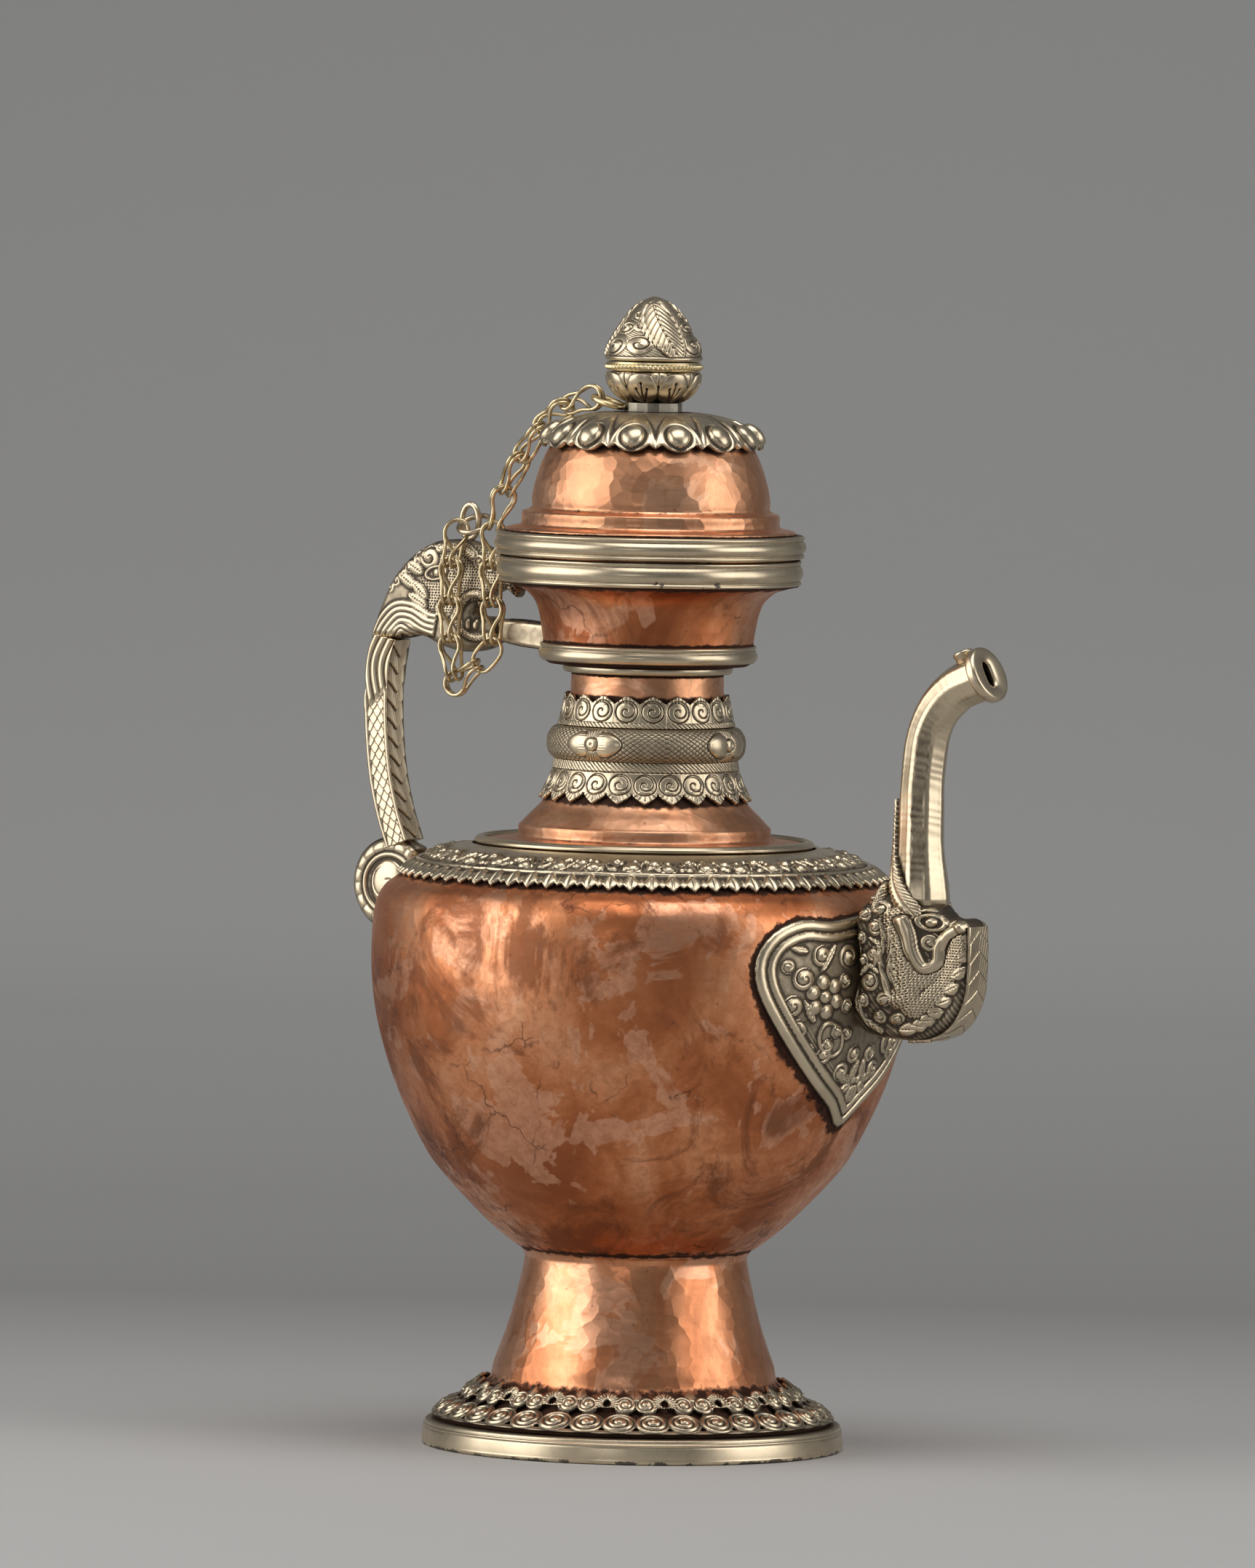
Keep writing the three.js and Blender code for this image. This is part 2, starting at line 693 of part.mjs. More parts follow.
const bandEnvelope = turned([
  [0, cupBaseBandProfile[1][1] - cutGap],
  ...offsetProfile(cupBaseBandProfile.slice(1), cutGap),
  [0, cupBaseBandProfile.at(-1)[1] + cutGap],
], wideSteps);
addPiece("handle_tongue", cut(tongue, cupEnvelope, bandEnvelope, headEnvelope), paleMetal);

const voluteDisc = new THREE.CylinderGeometry(
  voluteRadius, voluteRadius, (voluteHalfWidth - voluteRimRadius / 2) * 2, voluteSteps,
);
voluteDisc.translate(-voluteCentre[0], 0, voluteCentre[1]);
const voluteRims = [-1, 1].map((side) => {
  const rim = new THREE.TorusGeometry(
    voluteRadius - voluteRimRadius, voluteRimRadius, wireSides, voluteSteps,
  );
  rim.rotateX(Math.PI / 2);
  rim.translate(-voluteCentre[0], side * (voluteHalfWidth - voluteRimRadius), voluteCentre[1]);
  return rim;
});
const voluteBosses = [-1, 1].map((side) => {
  const boss = new THREE.SphereGeometry(voluteBossRadius, ballSteps, ballRings);
  boss.scale(1, voluteBossHeight / voluteBossRadius, voluteBossShare);
  boss.translate(-voluteCentre[0], side * (voluteHalfWidth - voluteRimRadius / 2), voluteCentre[1]);
  return boss;
});
const collarEnvelope = turned([
  [0, shoulderCollarProfile[0][1] - appliedWall],
  [shoulderCollarProfile[0][0], shoulderCollarProfile[0][1] - appliedWall],
  ...offsetProfile(shoulderCollarProfile, cutGap),
  [0, shoulderCollarProfile.at(-1)[1]],
], wideSteps);
const gripEnvelope = new THREE.ExtrudeGeometry(gripShape, {
  extrudePath: sidePath([gripRoot, ...gripPath], -1), steps: gripSteps, bevelEnabled: false,
});
const volute = join(voluteDisc, ...voluteRims, ...voluteBosses);
addPiece("handle_volute", cut(volute, bodyEnvelope, collarEnvelope, widened(gripEnvelope)), paleMetal);

// A copy that is larger by the seating gap on all sides, about its own middle
function widened(geometry) {
  const copy = geometry.clone();
  copy.computeBoundingBox();
  const middle = copy.boundingBox.getCenter(new THREE.Vector3());
  const size = copy.boundingBox.getSize(new THREE.Vector3());
  copy.translate(-middle.x, -middle.y, -middle.z);
  copy.scale(
    1 + cutGap * 2 / size.x,
    1 + cutGap * 2 / size.y,
    1 + cutGap * 2 / size.z,
  );
  copy.translate(middle.x, middle.y, middle.z);
  return copy;
}

function ovalRing(centre, halfWidth, halfHeight, wire, steps, sides) {
  const points = [];
  for (let i = 0; i < wirePoints; i += 1) {
    const turn = i / wirePoints * fullTurn;
    points.push(new THREE.Vector3(
      centre[0] + Math.cos(turn) * halfWidth,
      0,
      centre[1] + Math.sin(turn) * halfHeight,
    ));
  }
  return closedWire(points, wire, steps, sides);
}
const handleEye = ovalRing(
  [-eyeCentre[0], eyeCentre[1]], eyeHalfWidth, eyeHalfHeight, eyeWire, wireSteps, wireSides,
);
addPiece("handle_eye", cut(handleEye, headEnvelope), paleMetal);

// Spout: applied plate, beast head and the tube that rises from its crown
const plateShape = [];
for (const [across, height] of plateOutline) {
  plateShape.push(new THREE.Vector2(across, height));
}
for (const [across, height] of plateOutline.slice(1, -1).reverse()) {
  plateShape.push(new THREE.Vector2(-across, height));
}
const platePrism = new THREE.ExtrudeGeometry(new THREE.Shape(plateShape), {
  depth: plateReach, bevelEnabled: false,
});
platePrism.rotateX(Math.PI / 2);
platePrism.rotateZ(Math.PI / 2);
const plateOuter = turned([
  [0, bowlFloor], ...offsetProfile(bowlProfile, cutGap + plateWall), [0, neckBase + plateWall],
], wideSteps);
const plateSolid = toSolid(plateOuter).subtract(toSolid(bodyEnvelope)).intersect(toSolid(platePrism));
const spoutBoreSolid = toSolid(spoutBore);
addPiece("spout_plate", fromSolid(plateSolid.subtract(spoutBoreSolid)), paleMetal);
const plateEnvelope = turned([
  [0, bowlFloor], ...offsetProfile(bowlProfile, cutGap * 2 + plateWall), [0, neckBase + plateWall],
], wideSteps);
const snout = sideSlab(spoutHeadOutline, 1, snoutHalfWidth, snoutBevel);
const cheeks = sideSlab(cheekOutline, 1, cheekHalfWidth, cheekBevel, roundBevelSteps);
addPiece("spout_head", cut(join(snout, cheeks), plateEnvelope, spoutBore), paleMetal);

const facetHalfWidth = spoutHalfWidth * facetWidthShare;
const facetHalfDepth = spoutHalfDepth * facetDepthShare;
const tubeShape = new THREE.Shape([
  [0, -spoutHalfDepth], [facetHalfWidth, -facetHalfDepth], [spoutHalfWidth, 0],
  [facetHalfWidth, facetHalfDepth], [0, spoutHalfDepth],
  [-facetHalfWidth, facetHalfDepth], [-spoutHalfWidth, 0], [-facetHalfWidth, -facetHalfDepth],
].map(([across, deep]) => new THREE.Vector2(across, deep)));
const tubeOutside = new THREE.ExtrudeGeometry(tubeShape, {
  extrudePath: sidePath(spoutPath, 1), steps: spoutSteps, bevelEnabled: false,
});
tubeShape.holes.push(new THREE.Path().absarc(0, 0, spoutTubeBore, 0, fullTurn));
const tube = new THREE.ExtrudeGeometry(tubeShape, {
  extrudePath: sidePath(spoutPath, 1), steps: spoutSteps, curveSegments: boreSegments, bevelEnabled: false,
});
addPiece("spout_tube", closedMesh(tube), paleMetal);
const tipRing = new THREE.TorusGeometry(tipRingRadius, tipRingWire, wireSides, wireSteps);
tipRing.rotateY(quarterTurn);
tipRing.rotateY(-tipLean);
tipRing.translate(tipRingCentre[0], 0, tipRingCentre[1]);
addPiece("spout_tip_ring", cut(tipRing, widened(tubeOutside)), paleMetal);
const tipBoss = new THREE.SphereGeometry(tipBossRadius, ballSteps, ballRings);
tipBoss.translate(tipBossCentre[0], 0, tipBossCentre[1] + tipBossRise);
addPiece("spout_tip_boss", cut(tipBoss, widened(tubeOutside)), paleMetal);

// Chain: each link is one closed wire, pinched and folded double, whose two hooks
// hold the two eyes of the next link
function lean(degrees) {
  const turn = degrees * degree;
  return new THREE.Vector2(Math.cos(turn), Math.sin(turn));
}
const hookReach = Math.sqrt(eyeRadius ** 2 - hookSpread ** 2);
const hookCentre = linkPitch - hookDrop - hookReach;

// One quarter of the folded loop: along the link, across it, and off its middle plane
function quarterLoop() {
  const hookTurn = hookRadius * hookTurnShare;
  return [
    ...eyeArcShares.map(([along, across]) => [eyeRadius * along, eyeRadius * across, eyeOffset]),
    [eyeRadius * eyeEndShares[0], eyeRadius * eyeEndShares[1], eyeOffset + eyeEndFlare],
    [hookCentre * waistShares[0], eyeRadius * waistShares[1], (eyeOffset + hookRadius) / 2],
    [hookCentre * throatShares[0], hookSpread * throatShares[1], hookRadius * throatShares[2]],
    [hookCentre, hookSpread, hookRadius],
    [hookCentre + hookTurn, hookSpread, hookTurn],
    [hookCentre + hookRadius, hookSpread, 0],
  ];
}
function linkPoints() {
  const quarter = quarterLoop();
  const loop = [];
  const back = quarter.slice(0, -1).reverse();
  quarter.forEach(([along, across, off]) => loop.push([along, across, off]));
  back.forEach(([along, across, off]) => loop.push([along, across, -off]));
  quarter.slice(1).forEach(([along, across, off]) => loop.push([along, -across, -off]));
  back.slice(0, -1).forEach(([along, across, off]) => loop.push([along, -across, off]));
  return loop;
}
function placeLink(name, centre, direction, plane, tilt, eyeRoll, hookRoll) {
  const across = new THREE.Vector2(-direction.y, direction.x);
  const points = linkPoints().map(([along, side, off]) => {
    const share = THREE.MathUtils.smoothstep(along, 0, hookCentre);
    const roll = THREE.MathUtils.lerp(eyeRoll, hookRoll, share);
    const inPlane = side * Math.cos(roll) - off * Math.sin(roll);
    const outward = side * Math.sin(roll) + off * Math.cos(roll);
    return new THREE.Vector3(
      centre.x + direction.x * along + across.x * inPlane,
      plane + outward - tilt * (along + eyeRadius),
      centre.y + direction.y * along + across.y * inPlane,
    );
  });
  addPiece(name, closedWire(points, wireRadius, linkSteps, linkSides), chainWire);
}

function linkName(number) {
  return `chain_link_${String(number).padStart(2, "0")}`;
}
let number = 1;
let centre = new THREE.Vector2(...finialEyeSeat).addScaledVector(lean(fallLeans[0]), finialEyeGrip);
fallLeans.forEach((degrees, i) => {
  const isLast = i === fallLeans.length - 1;
  const roll = fallRolls[i] * degree;
  const nextRoll = isLast ? 0 : fallRolls[i + 1] * degree;
  placeLink(linkName(number), centre, lean(degrees), chainPlane, 0, roll, nextRoll);
  number += 1;
  const nextLean = isLast ? joiningLean : fallLeans[i + 1];
  const nextShare = Math.sin(nextRoll) ** 2;
  const onward = lean(degrees).multiplyScalar(1 - nextShare)
    .addScaledVector(lean(nextLean), nextShare).normalize();
  const drop = isLast ? ringHookDrop : hookDrop;
  centre = centre.clone().addScaledVector(lean(degrees), hookCentre + drop)
    .addScaledVector(onward, hookReach);
});
const joiningDirection = lean(joiningLean);
const joiningAcross = new THREE.Vector2(-joiningDirection.y, joiningDirection.x);
const joiningPoints = [];
for (let i = 0; i < wirePoints; i += 1) {
  const turn = (i + halfShare) / wirePoints * fullTurn;
  const along = Math.cos(turn) * eyeRadius + (Math.cos(turn) > 0 ? joiningLength : 0);
  const side = Math.sin(turn) * eyeRadius;
  joiningPoints.push(new THREE.Vector3(
    centre.x + joiningDirection.x * along + joiningAcross.x * side,
    chainPlane,
    centre.y + joiningDirection.y * along + joiningAcross.y * side,
  ));
}
addPiece("chain_joining_link", closedWire(joiningPoints, wireRadius, linkSteps, linkSides), chainWire);
centre = new THREE.Vector2(...handleRingSeat).addScaledVector(lean(riseLeans[0]), handleRingGrip);
riseLeans.forEach((degrees, i) => {
  const tilt = i === 0 ? firstRiseTilt : 0;
  const plane = i === 0 ? chainPlane + firstRiseTilt * linkPitch : chainPlane;
  const roll = i === 0 ? firstRiseRoll * degree : 0;
  placeLink(linkName(number), centre, lean(degrees), plane, tilt, roll, 0);
  number += 1;
  centre = centre.clone().addScaledVector(lean(degrees), linkPitch);
});

// Swivel washer with its wire eye, and the ring through the eye on the handle
const washer = turned([
  [washerBore, washerBase], [washerRadius, washerBase], [washerRadius, washerTop], [washerBore, washerTop],
  [washerBore, washerBase],
], finialSteps);
addPiece("finial_washer", washer, steel);
const finialEyePoints = [];
for (let i = 0; i < wirePoints; i += 1) {
  const turn = i / wirePoints * fullTurn;
  finialEyePoints.push(new THREE.Vector3(
    finialEyeSeat[0] + (1 - Math.cos(turn)) * finialEyeHalfLength,
    finialEyeMiddle + Math.sin(turn) * finialEyeHalfWidth,
    finialEyeSeat[1] - (1 - Math.cos(turn)) / 2 * finialEyeRootDrop,
  ));
}
const washerEnvelope = turned([
  [0, washerBase - cutGap], [washerRadius + cutGap, washerBase - cutGap],
  [washerRadius + cutGap, washerTop + cutGap], [0, washerTop + cutGap],
], finialSteps);
const finialEyeRing = closedWire(finialEyePoints, finialEyeWire, wireSteps, wireSides);
addPiece("finial_eye", cut(finialEyeRing, washerEnvelope), gilt);
const handleRing = new THREE.TorusGeometry(handleRingRadius, handleRingWire, wireSides, wireSteps);
handleRing.rotateX(handleRingTilt);
handleRing.translate(...handleRingCentre);
addPiece("handle_ring", closedMesh(handleRing), paleMetal);

// The middle of the whole outline is brought over the origin
ewer.updateMatrixWorld(true);
const span = new THREE.Box3().setFromObject(ewer);
for (const mesh of ewer.children) {
  mesh.geometry.translate(-(span.min.x + span.max.x) / 2, 0, 0);
  mesh.geometry.computeVertexNormals();
}

export default ewer;
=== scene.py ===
import bpy
import math
import numpy as np
from mathutils import Matrix, Vector


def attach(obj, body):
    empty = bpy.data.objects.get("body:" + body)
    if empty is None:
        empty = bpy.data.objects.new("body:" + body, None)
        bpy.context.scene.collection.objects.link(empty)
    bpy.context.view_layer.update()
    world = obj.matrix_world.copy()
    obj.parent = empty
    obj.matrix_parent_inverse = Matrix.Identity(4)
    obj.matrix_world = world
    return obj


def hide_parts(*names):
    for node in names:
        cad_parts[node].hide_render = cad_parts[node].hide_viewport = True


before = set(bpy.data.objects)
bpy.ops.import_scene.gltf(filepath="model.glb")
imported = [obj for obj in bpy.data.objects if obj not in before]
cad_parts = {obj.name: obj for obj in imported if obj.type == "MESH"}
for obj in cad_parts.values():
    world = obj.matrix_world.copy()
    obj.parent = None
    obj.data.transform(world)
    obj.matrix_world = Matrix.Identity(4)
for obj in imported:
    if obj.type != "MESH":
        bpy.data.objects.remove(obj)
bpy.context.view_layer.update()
scene = bpy.context.scene

# Place and light
# The ewer stands on a pale studio sweep under soft lamps at both sides and above, seen
# a little from above through a long lens, with the spout turned towards the camera.
AXIS_X = -0.01212
AXIS_MM = AXIS_X * 1000
scene.view_settings.view_transform = "Standard"

VIEW_TURN = math.radians(33)
CAMERA_DISTANCE = 5.5
CAMERA_HEIGHT = 0.53
AIM_HEIGHT = 0.237
AIM_LEFT = 0.0064
VIEW_ROLL = math.radians(1.15)
view_right = Vector((math.cos(VIEW_TURN), math.sin(VIEW_TURN), 0))
view_back = Vector((math.sin(VIEW_TURN), -math.cos(VIEW_TURN), 0))
camera_data = bpy.data.cameras.new("camera")
camera = bpy.data.objects.new("camera", camera_data)
scene.collection.objects.link(camera)
aim = Vector((AXIS_X, 0, AIM_HEIGHT)) - view_right * AIM_LEFT
camera.location = Vector((AXIS_X, 0, CAMERA_HEIGHT)) + view_back * CAMERA_DISTANCE
turn = (aim - camera.location).to_track_quat("-Z", "Y").to_matrix().to_4x4()
camera.matrix_world = Matrix.Translation(camera.location) @ turn @ Matrix.Rotation(
    VIEW_ROLL, 4, "Z")
camera_data.sensor_fit = "VERTICAL"
camera_data.sensor_height = 36
camera_data.lens = 354
camera_data.clip_end = 40
scene.camera = camera


def lamp(name, place, aim_at, wide, high, power, tint):
    """A soft rectangular lamp at place, facing aim_at, both in metres."""
    data = bpy.data.lights.new(name, "AREA")
    data.shape = "RECTANGLE"
    data.size = wide
    data.size_y = high
    data.energy = power
    data.color = tint
    lamp_object = bpy.data.objects.new(name, data)
    scene.collection.objects.link(lamp_object)
    lamp_object.location = place
    lamp_object.rotation_euler = (Vector(aim_at) - Vector(place)).to_track_quat("-Z", "Y").to_euler(
        )


def around(degrees, distance, height):
    """A place round the ewer, turned from the camera's side, positive to its right."""
    turned = math.radians(degrees)
    away = view_back * math.cos(turned) + view_right * math.sin(turned)
    return Vector((AXIS_X, 0, height)) + away * distance


lamp("left_soft_lamp", around(-74, 1.6, 0.7), (AXIS_X, 0, 0.2), 1.7, 1.8, 23.5, (1.0, 0.985, 0.95))
lamp("right_soft_lamp", around(70, 1.8, 0.7), (AXIS_X, 0, 0.2), 1.4, 1.7, 15.5, (1.0, 0.985, 0.955))
lamp("top_soft_lamp", around(20, 0.5, 1.9), (AXIS_X, 0, 0.2), 1.6, 1.2, 17, (1.0, 0.99, 0.97))
lamp("front_low_lamp", around(-14, 2.4, 0.5), (AXIS_X, 0, 0.1), 0.5, 0.5, 1.6, (1.0, 0.98, 0.96))

world = bpy.data.worlds.new("studio")
scene.world = world
world.use_nodes = True
sky = world.node_tree.nodes["Background"]
sky.inputs["Color"].default_value = (0.275, 0.285, 0.293, 1)
sky.inputs["Strength"].default_value = 0.6


def put_mesh(name, points, groups, marks=None):
    """A mesh object from points in millimetres and arrays of three- or four-cornered faces."""
    points = np.asarray(points, dtype=float)
    groups = [np.asarray(group, dtype=np.int32) for group in groups if len(group)]
    volume = 0
    for group in groups:
        first, second, third = points[group[:, 0]], points[group[:, 1]], points[group[:, 2]]
        volume += np.einsum("ij,ij->i", first, np.cross(second, third)).sum()
        if group.shape[1] == 4:
            volume += np.einsum("ij,ij->i", first, np.cross(third, points[group[:, 3]])).sum()
    if volume < 0:
        groups = [group[:, ::-1] for group in groups]
    corners = np.concatenate([group.ravel() for group in groups])
    sizes = np.concatenate([np.full(len(group), group.shape[1]) for group in groups])
    mesh = bpy.data.meshes.new(name)
    mesh.vertices.add(len(points))
    mesh.vertices.foreach_set("co", (points / 1000).astype(np.float32).ravel())
    mesh.loops.add(len(corners))
    mesh.loops.foreach_set("vertex_index", corners)
    mesh.polygons.add(len(sizes))
    starts = np.concatenate([[0], np.cumsum(sizes)[:-1]]).astype(np.int32)
    mesh.polygons.foreach_set("loop_start", starts)
    mesh.polygons.foreach_set("use_smooth", np.ones(len(sizes), dtype=bool))
    for mark, values in (marks or {}).items():
        attribute = mesh.attributes.new(mark, "FLOAT", "POINT")
        attribute.data.foreach_set("value", np.asarray(values, dtype=np.float32).ravel())
    mesh.update(calc_edges=True)
    mesh.validate()
    piece = bpy.data.objects.new(name, mesh)
    scene.collection.objects.link(piece)
    return piece


def grid_faces(rows, columns, wrap_rows=False, wrap_columns=False):
    """Four-cornered faces of a grid whose points are numbered row by row."""
    row = np.arange(rows if wrap_rows else rows - 1)
    column = np.arange(columns if wrap_columns else columns - 1)
    r, c = np.meshgrid(row, column, indexing="ij")
    above, beside = (r + 1) % rows, (c + 1) % columns
    corners = [r * columns + c, r * columns + beside, above * columns + beside, above * columns + c]
    return np.stack([corner.ravel() for corner in corners], axis=1)


def run_along(path):
    """The distance run along a path to each of its points."""
    return np.concatenate([[0], np.cumsum(np.hypot(*np.diff(path, axis=0).T))])


sweep_half = 4.0
sweep_bend = 1.2
sweep_flat = 2.2
sweep_line = [(-sweep_half, 0.0), (-1.1, 0.0)] + [
    (run, 0.0) for run in np.arange(-0.6, sweep_flat, 0.1)]
for step in range(25):
    bend = math.pi / 2 * step / 24
    sweep_line.append((sweep_flat + sweep_bend * math.sin(bend), sweep_bend * (1 - math.cos(bend))))
sweep_line.append((sweep_flat + sweep_bend, 4.0))
sweep_run = run_along(sweep_line) - sweep_half
# Painted light and shade: the sweep's tone along its run is darkest on the floor just behind the
# ewer and brightest where the floor bends up into the wall. It stands in for how the lamps' light
# falls off.
sweep_painted_light = np.interp(
    sweep_run, [-1.1, -0.6, 0, 0.3, 0.6, 1.1, 1.7, 2.1, 2.5, 2.9, 3.1, 3.4],
    [0.30, 0.44, 0.44, 0.34, 0.265, 0.385, 0.585, 0.725, 0.75, 0.66, 0.64, 0.605])
sweep_points = []
for back, rise in sweep_line:
    for side in (-sweep_half, sweep_half):
        spot = -view_back * back + view_right * side
        sweep_points.append(((AXIS_X + spot.x) * 1000, spot.y * 1000, rise * 1000))
sweep = put_mesh(
    "studio_sweep", sweep_points, [grid_faces(len(sweep_line), 2)],
    {"tone": np.repeat(sweep_painted_light, 2)})
sweep.data.flip_normals()


def feed(tree, entry, value):
    """Joins a node's input to another node's output, or sets it to a value."""
    if isinstance(value, bpy.types.NodeSocket):
        tree.links.new(value, entry)
    else:
        entry.default_value = value


def new_node(tree, kind, inputs=None, **settings):
    """A shader node whose inputs are set to values or joined to other nodes' outputs."""
    made = tree.nodes.new(kind)
    for key, value in settings.items():
        setattr(made, key, value)
    for key, value in (inputs or {}).items():
        feed(tree, made.inputs[key], value)
    return made


def colour_steps(tree, factor, steps):
    """A colour ramp from (place, colour or grey) pairs."""
    ramp = new_node(tree, "ShaderNodeValToRGB", {"Fac": factor})
    while len(ramp.color_ramp.elements) < len(steps):
        ramp.color_ramp.elements.new(0.5)
    for element, (place, value) in zip(ramp.color_ramp.elements, steps):
        element.position = place
        colour = (value, value, value) if isinstance(value, (int, float)) else value
        element.color = (*colour, 1)
    return ramp.outputs["Color"]


def blended(tree, share, first, second, how="MIX"):
    """Two colours mixed by a share."""
    mix = new_node(tree, "ShaderNodeMix", {0: share}, data_type="RGBA", blend_type=how)
    for index, colour in ((6, first), (7, second)):
        is_plain = not isinstance(colour, bpy.types.NodeSocket)
        feed(tree, mix.inputs[index], (*colour, 1) if is_plain else colour)
    return mix.outputs[2]


def noise(tree, place, scale, detail=4.0, rough=0.55, distort=0.0, stretch=None):
    """A cloud pattern; stretch multiplies the place along X, Y and Z first."""
    if stretch:
        place = new_node(tree, "ShaderNodeMapping", {"Vector": place, "Scale": stretch}).outputs[0]
    return new_node(tree, "ShaderNodeTexNoise", {
        "Vector": place, "Scale": scale, "Detail": detail, "Roughness": rough,
        "Distortion": distort,
    }).outputs["Fac"]


def marked(tree, name):
    """The value that the mesh itself carries at each place under a name."""
    return new_node(tree, "ShaderNodeAttribute", attribute_name=name).outputs["Fac"]


def surface(tree, colour, roughness, height, depth, strength, metallic=1.0):
    """A surface with bumps of the given depth in metres, metal unless told otherwise."""
    return new_node(tree, "ShaderNodeBsdfPrincipled", {
        "Base Color": colour, "Metallic": metallic, "Roughness": roughness,
        "Normal": new_node(tree, "ShaderNodeBump", {
            "Height": height, "Distance": depth, "Strength": strength,
        }).outputs[0],
    }).outputs[0]


def show(tree, shade):
    """Makes a shade the surface of a material."""
    new_node(tree, "ShaderNodeOutputMaterial", {"Surface": shade})


def new_material(name):
    """An empty node material, its tree and the piece's own coordinates."""
    material = bpy.data.materials.new(name)
    material.use_nodes = True
    tree = material.node_tree
    tree.nodes.clear()
    return material, tree, tree.nodes.new("ShaderNodeTexCoord").outputs["Object"]


paper, paper_tree, paper_place = new_material("sweep_paper")
paper_tint = colour_steps(paper_tree, noise(paper_tree, paper_place, 0.7, 2), [
    (0.3, (0.99, 0.975, 0.96)), (0.7, (1.0, 0.99, 0.98)),
])
# The paper's colour is multiplied by the sweep's tone mark, which is painted light and shade.
paper_shade = surface(
    paper_tree, blended(paper_tree, 1.0, marked(paper_tree, "tone"), paper_tint, "MULTIPLY"), 0.75,
    noise(paper_tree, paper_place, 900, 3), 0.0001, 0.3, 0.0)
show(paper_tree, new_node(paper_tree, "ShaderNodeMixShader", {
    0: new_node(paper_tree, "ShaderNodeNewGeometry").outputs["Backfacing"],
    1: paper_shade, 2: new_node(paper_tree, "ShaderNodeBsdfTransparent").outputs[0],
}).outputs[0])
sweep.data.materials.append(paper)

# Foot
# The ewer stands on a pale metal band, soldered to a hammered copper cone. An
# openwork collar of raised scrolls and ribbed fans is laid over the cone's flare.


def turn_steps(count):
    """Even steps round a full turn, in radians."""
    return np.arange(count) / count * math.tau


def spline(points, per=8, closed=False):
    """Points on a smooth curve through the given ones, per steps for each span."""
    knots = np.asarray(points, dtype=float)
    if closed:
        knots = np.vstack([knots[-1], knots, knots[:2]])
    else:
        knots = np.vstack([2 * knots[0] - knots[1], knots, 2 * knots[-1] - knots[-2]])
    share = (np.arange(per) / per)[:, None]
    made = []
    for before, start, end, after in zip(knots[:-3], knots[1:-2], knots[2:-1], knots[3:]):
        pull_in, pull_out = (end - before) / 2, (after - start) / 2
        made.append(
            start * (2 * share ** 3 - 3 * share ** 2 + 1) + end * (3 * share ** 2 - 2 * share ** 3)
            + pull_in * (share ** 3 - 2 * share ** 2 + share) + pull_out * (share ** 3 - share ** 2)
        )
    if not closed:
        made.append(knots[-2][None, :])
    return np.vstack(made)


def raised(start, end, rise, count=10):
    """An arc of a section that runs upward from start to end, swelling away from the axis."""
    start, end = np.array(start, dtype=float), np.array(end, dtype=float)
    run = end - start
    out = np.array([run[1], -run[0]]) / np.hypot(*run)
    share = np.linspace(0, 1, count + 1)[:, None]
    return start + run * share + out * rise * 4 * share * (1 - share)


def spun(radii, heights, turns):
    """Points in millimetres at the given distances from the ewer's axis."""
    return np.stack([
        AXIS_MM + radii * np.cos(turns), radii * np.sin(turns), heights + 0 * turns,
    ], axis=-1)


def turned_ring(name, section, steps=180, marks=None):
    """A closed section in (distance from the axis, height) turned into a ring."""
    section = np.asarray(section, dtype=float)
    turns = turn_steps(steps)
    radii, around_ring = np.meshgrid(section[:, 0], turns, indexing="ij")
    heights = np.repeat(section[:, 1][:, None], steps, axis=1)
    values = {
        mark: np.repeat(np.asarray(value)[:, None], steps, axis=1)
        for mark, value in (marks or {}).items()}
    return put_mesh(
        name, spun(radii, heights, around_ring).reshape(-1, 3),
        [grid_faces(len(section), steps, wrap_rows=True, wrap_columns=True)], values,
    )


def calc(tree, what, *values, clamp=False):
    """One arithmetic node."""
    return new_node(
        tree, "ShaderNodeMath", dict(enumerate(values)), operation=what, use_clamp=clamp).outputs[0]


def times(tree, first, second):
    """The product of two values."""
    return calc(tree, "MULTIPLY", first, second)


def summed(tree, base, *shares, clamp=False):
    """A base value plus shares of other values, given as (value, share) pairs."""
    for number, (value, share) in enumerate(shares, 1):
        is_last = number == len(shares)
        base = calc(tree, "ADD", base, times(tree, value, share), clamp=clamp and is_last)
    return base


def clouded(tree, value, cloud, swing):
    """A value raised and lowered by a cloud pattern, through the given swing."""
    return summed(tree, value, (calc(tree, "SUBTRACT", cloud, 0.5), swing))


def patches(tree, pattern, low, high):
    """0 where a pattern lies below low and 1 where it lies above high."""
    return colour_steps(tree, pattern, [(low, 0.0), (high, 1.0)])


def stained(tree, tone, mask, share, stain):
    """A tone that goes towards a stain's colour, by the given share, where the mask is 1."""
    return blended(tree, times(tree, mask, share), tone, stain)


def shifted(tree, place, scale, detail, swing):
    """Places moved about by a cloud pattern, each coordinate by up to swing metres."""
    cloud = new_node(
        tree, "ShaderNodeTexNoise", {"Vector": place, "Scale": scale, "Detail": detail})
    shift = new_node(tree, "ShaderNodeVectorMath", {
        0: cloud.outputs["Color"], 1: (swing, swing, swing)}, operation="MULTIPLY")
    return new_node(
        tree, "ShaderNodeVectorMath", {0: place, 1: shift.outputs[0]}, operation="ADD").outputs[0]


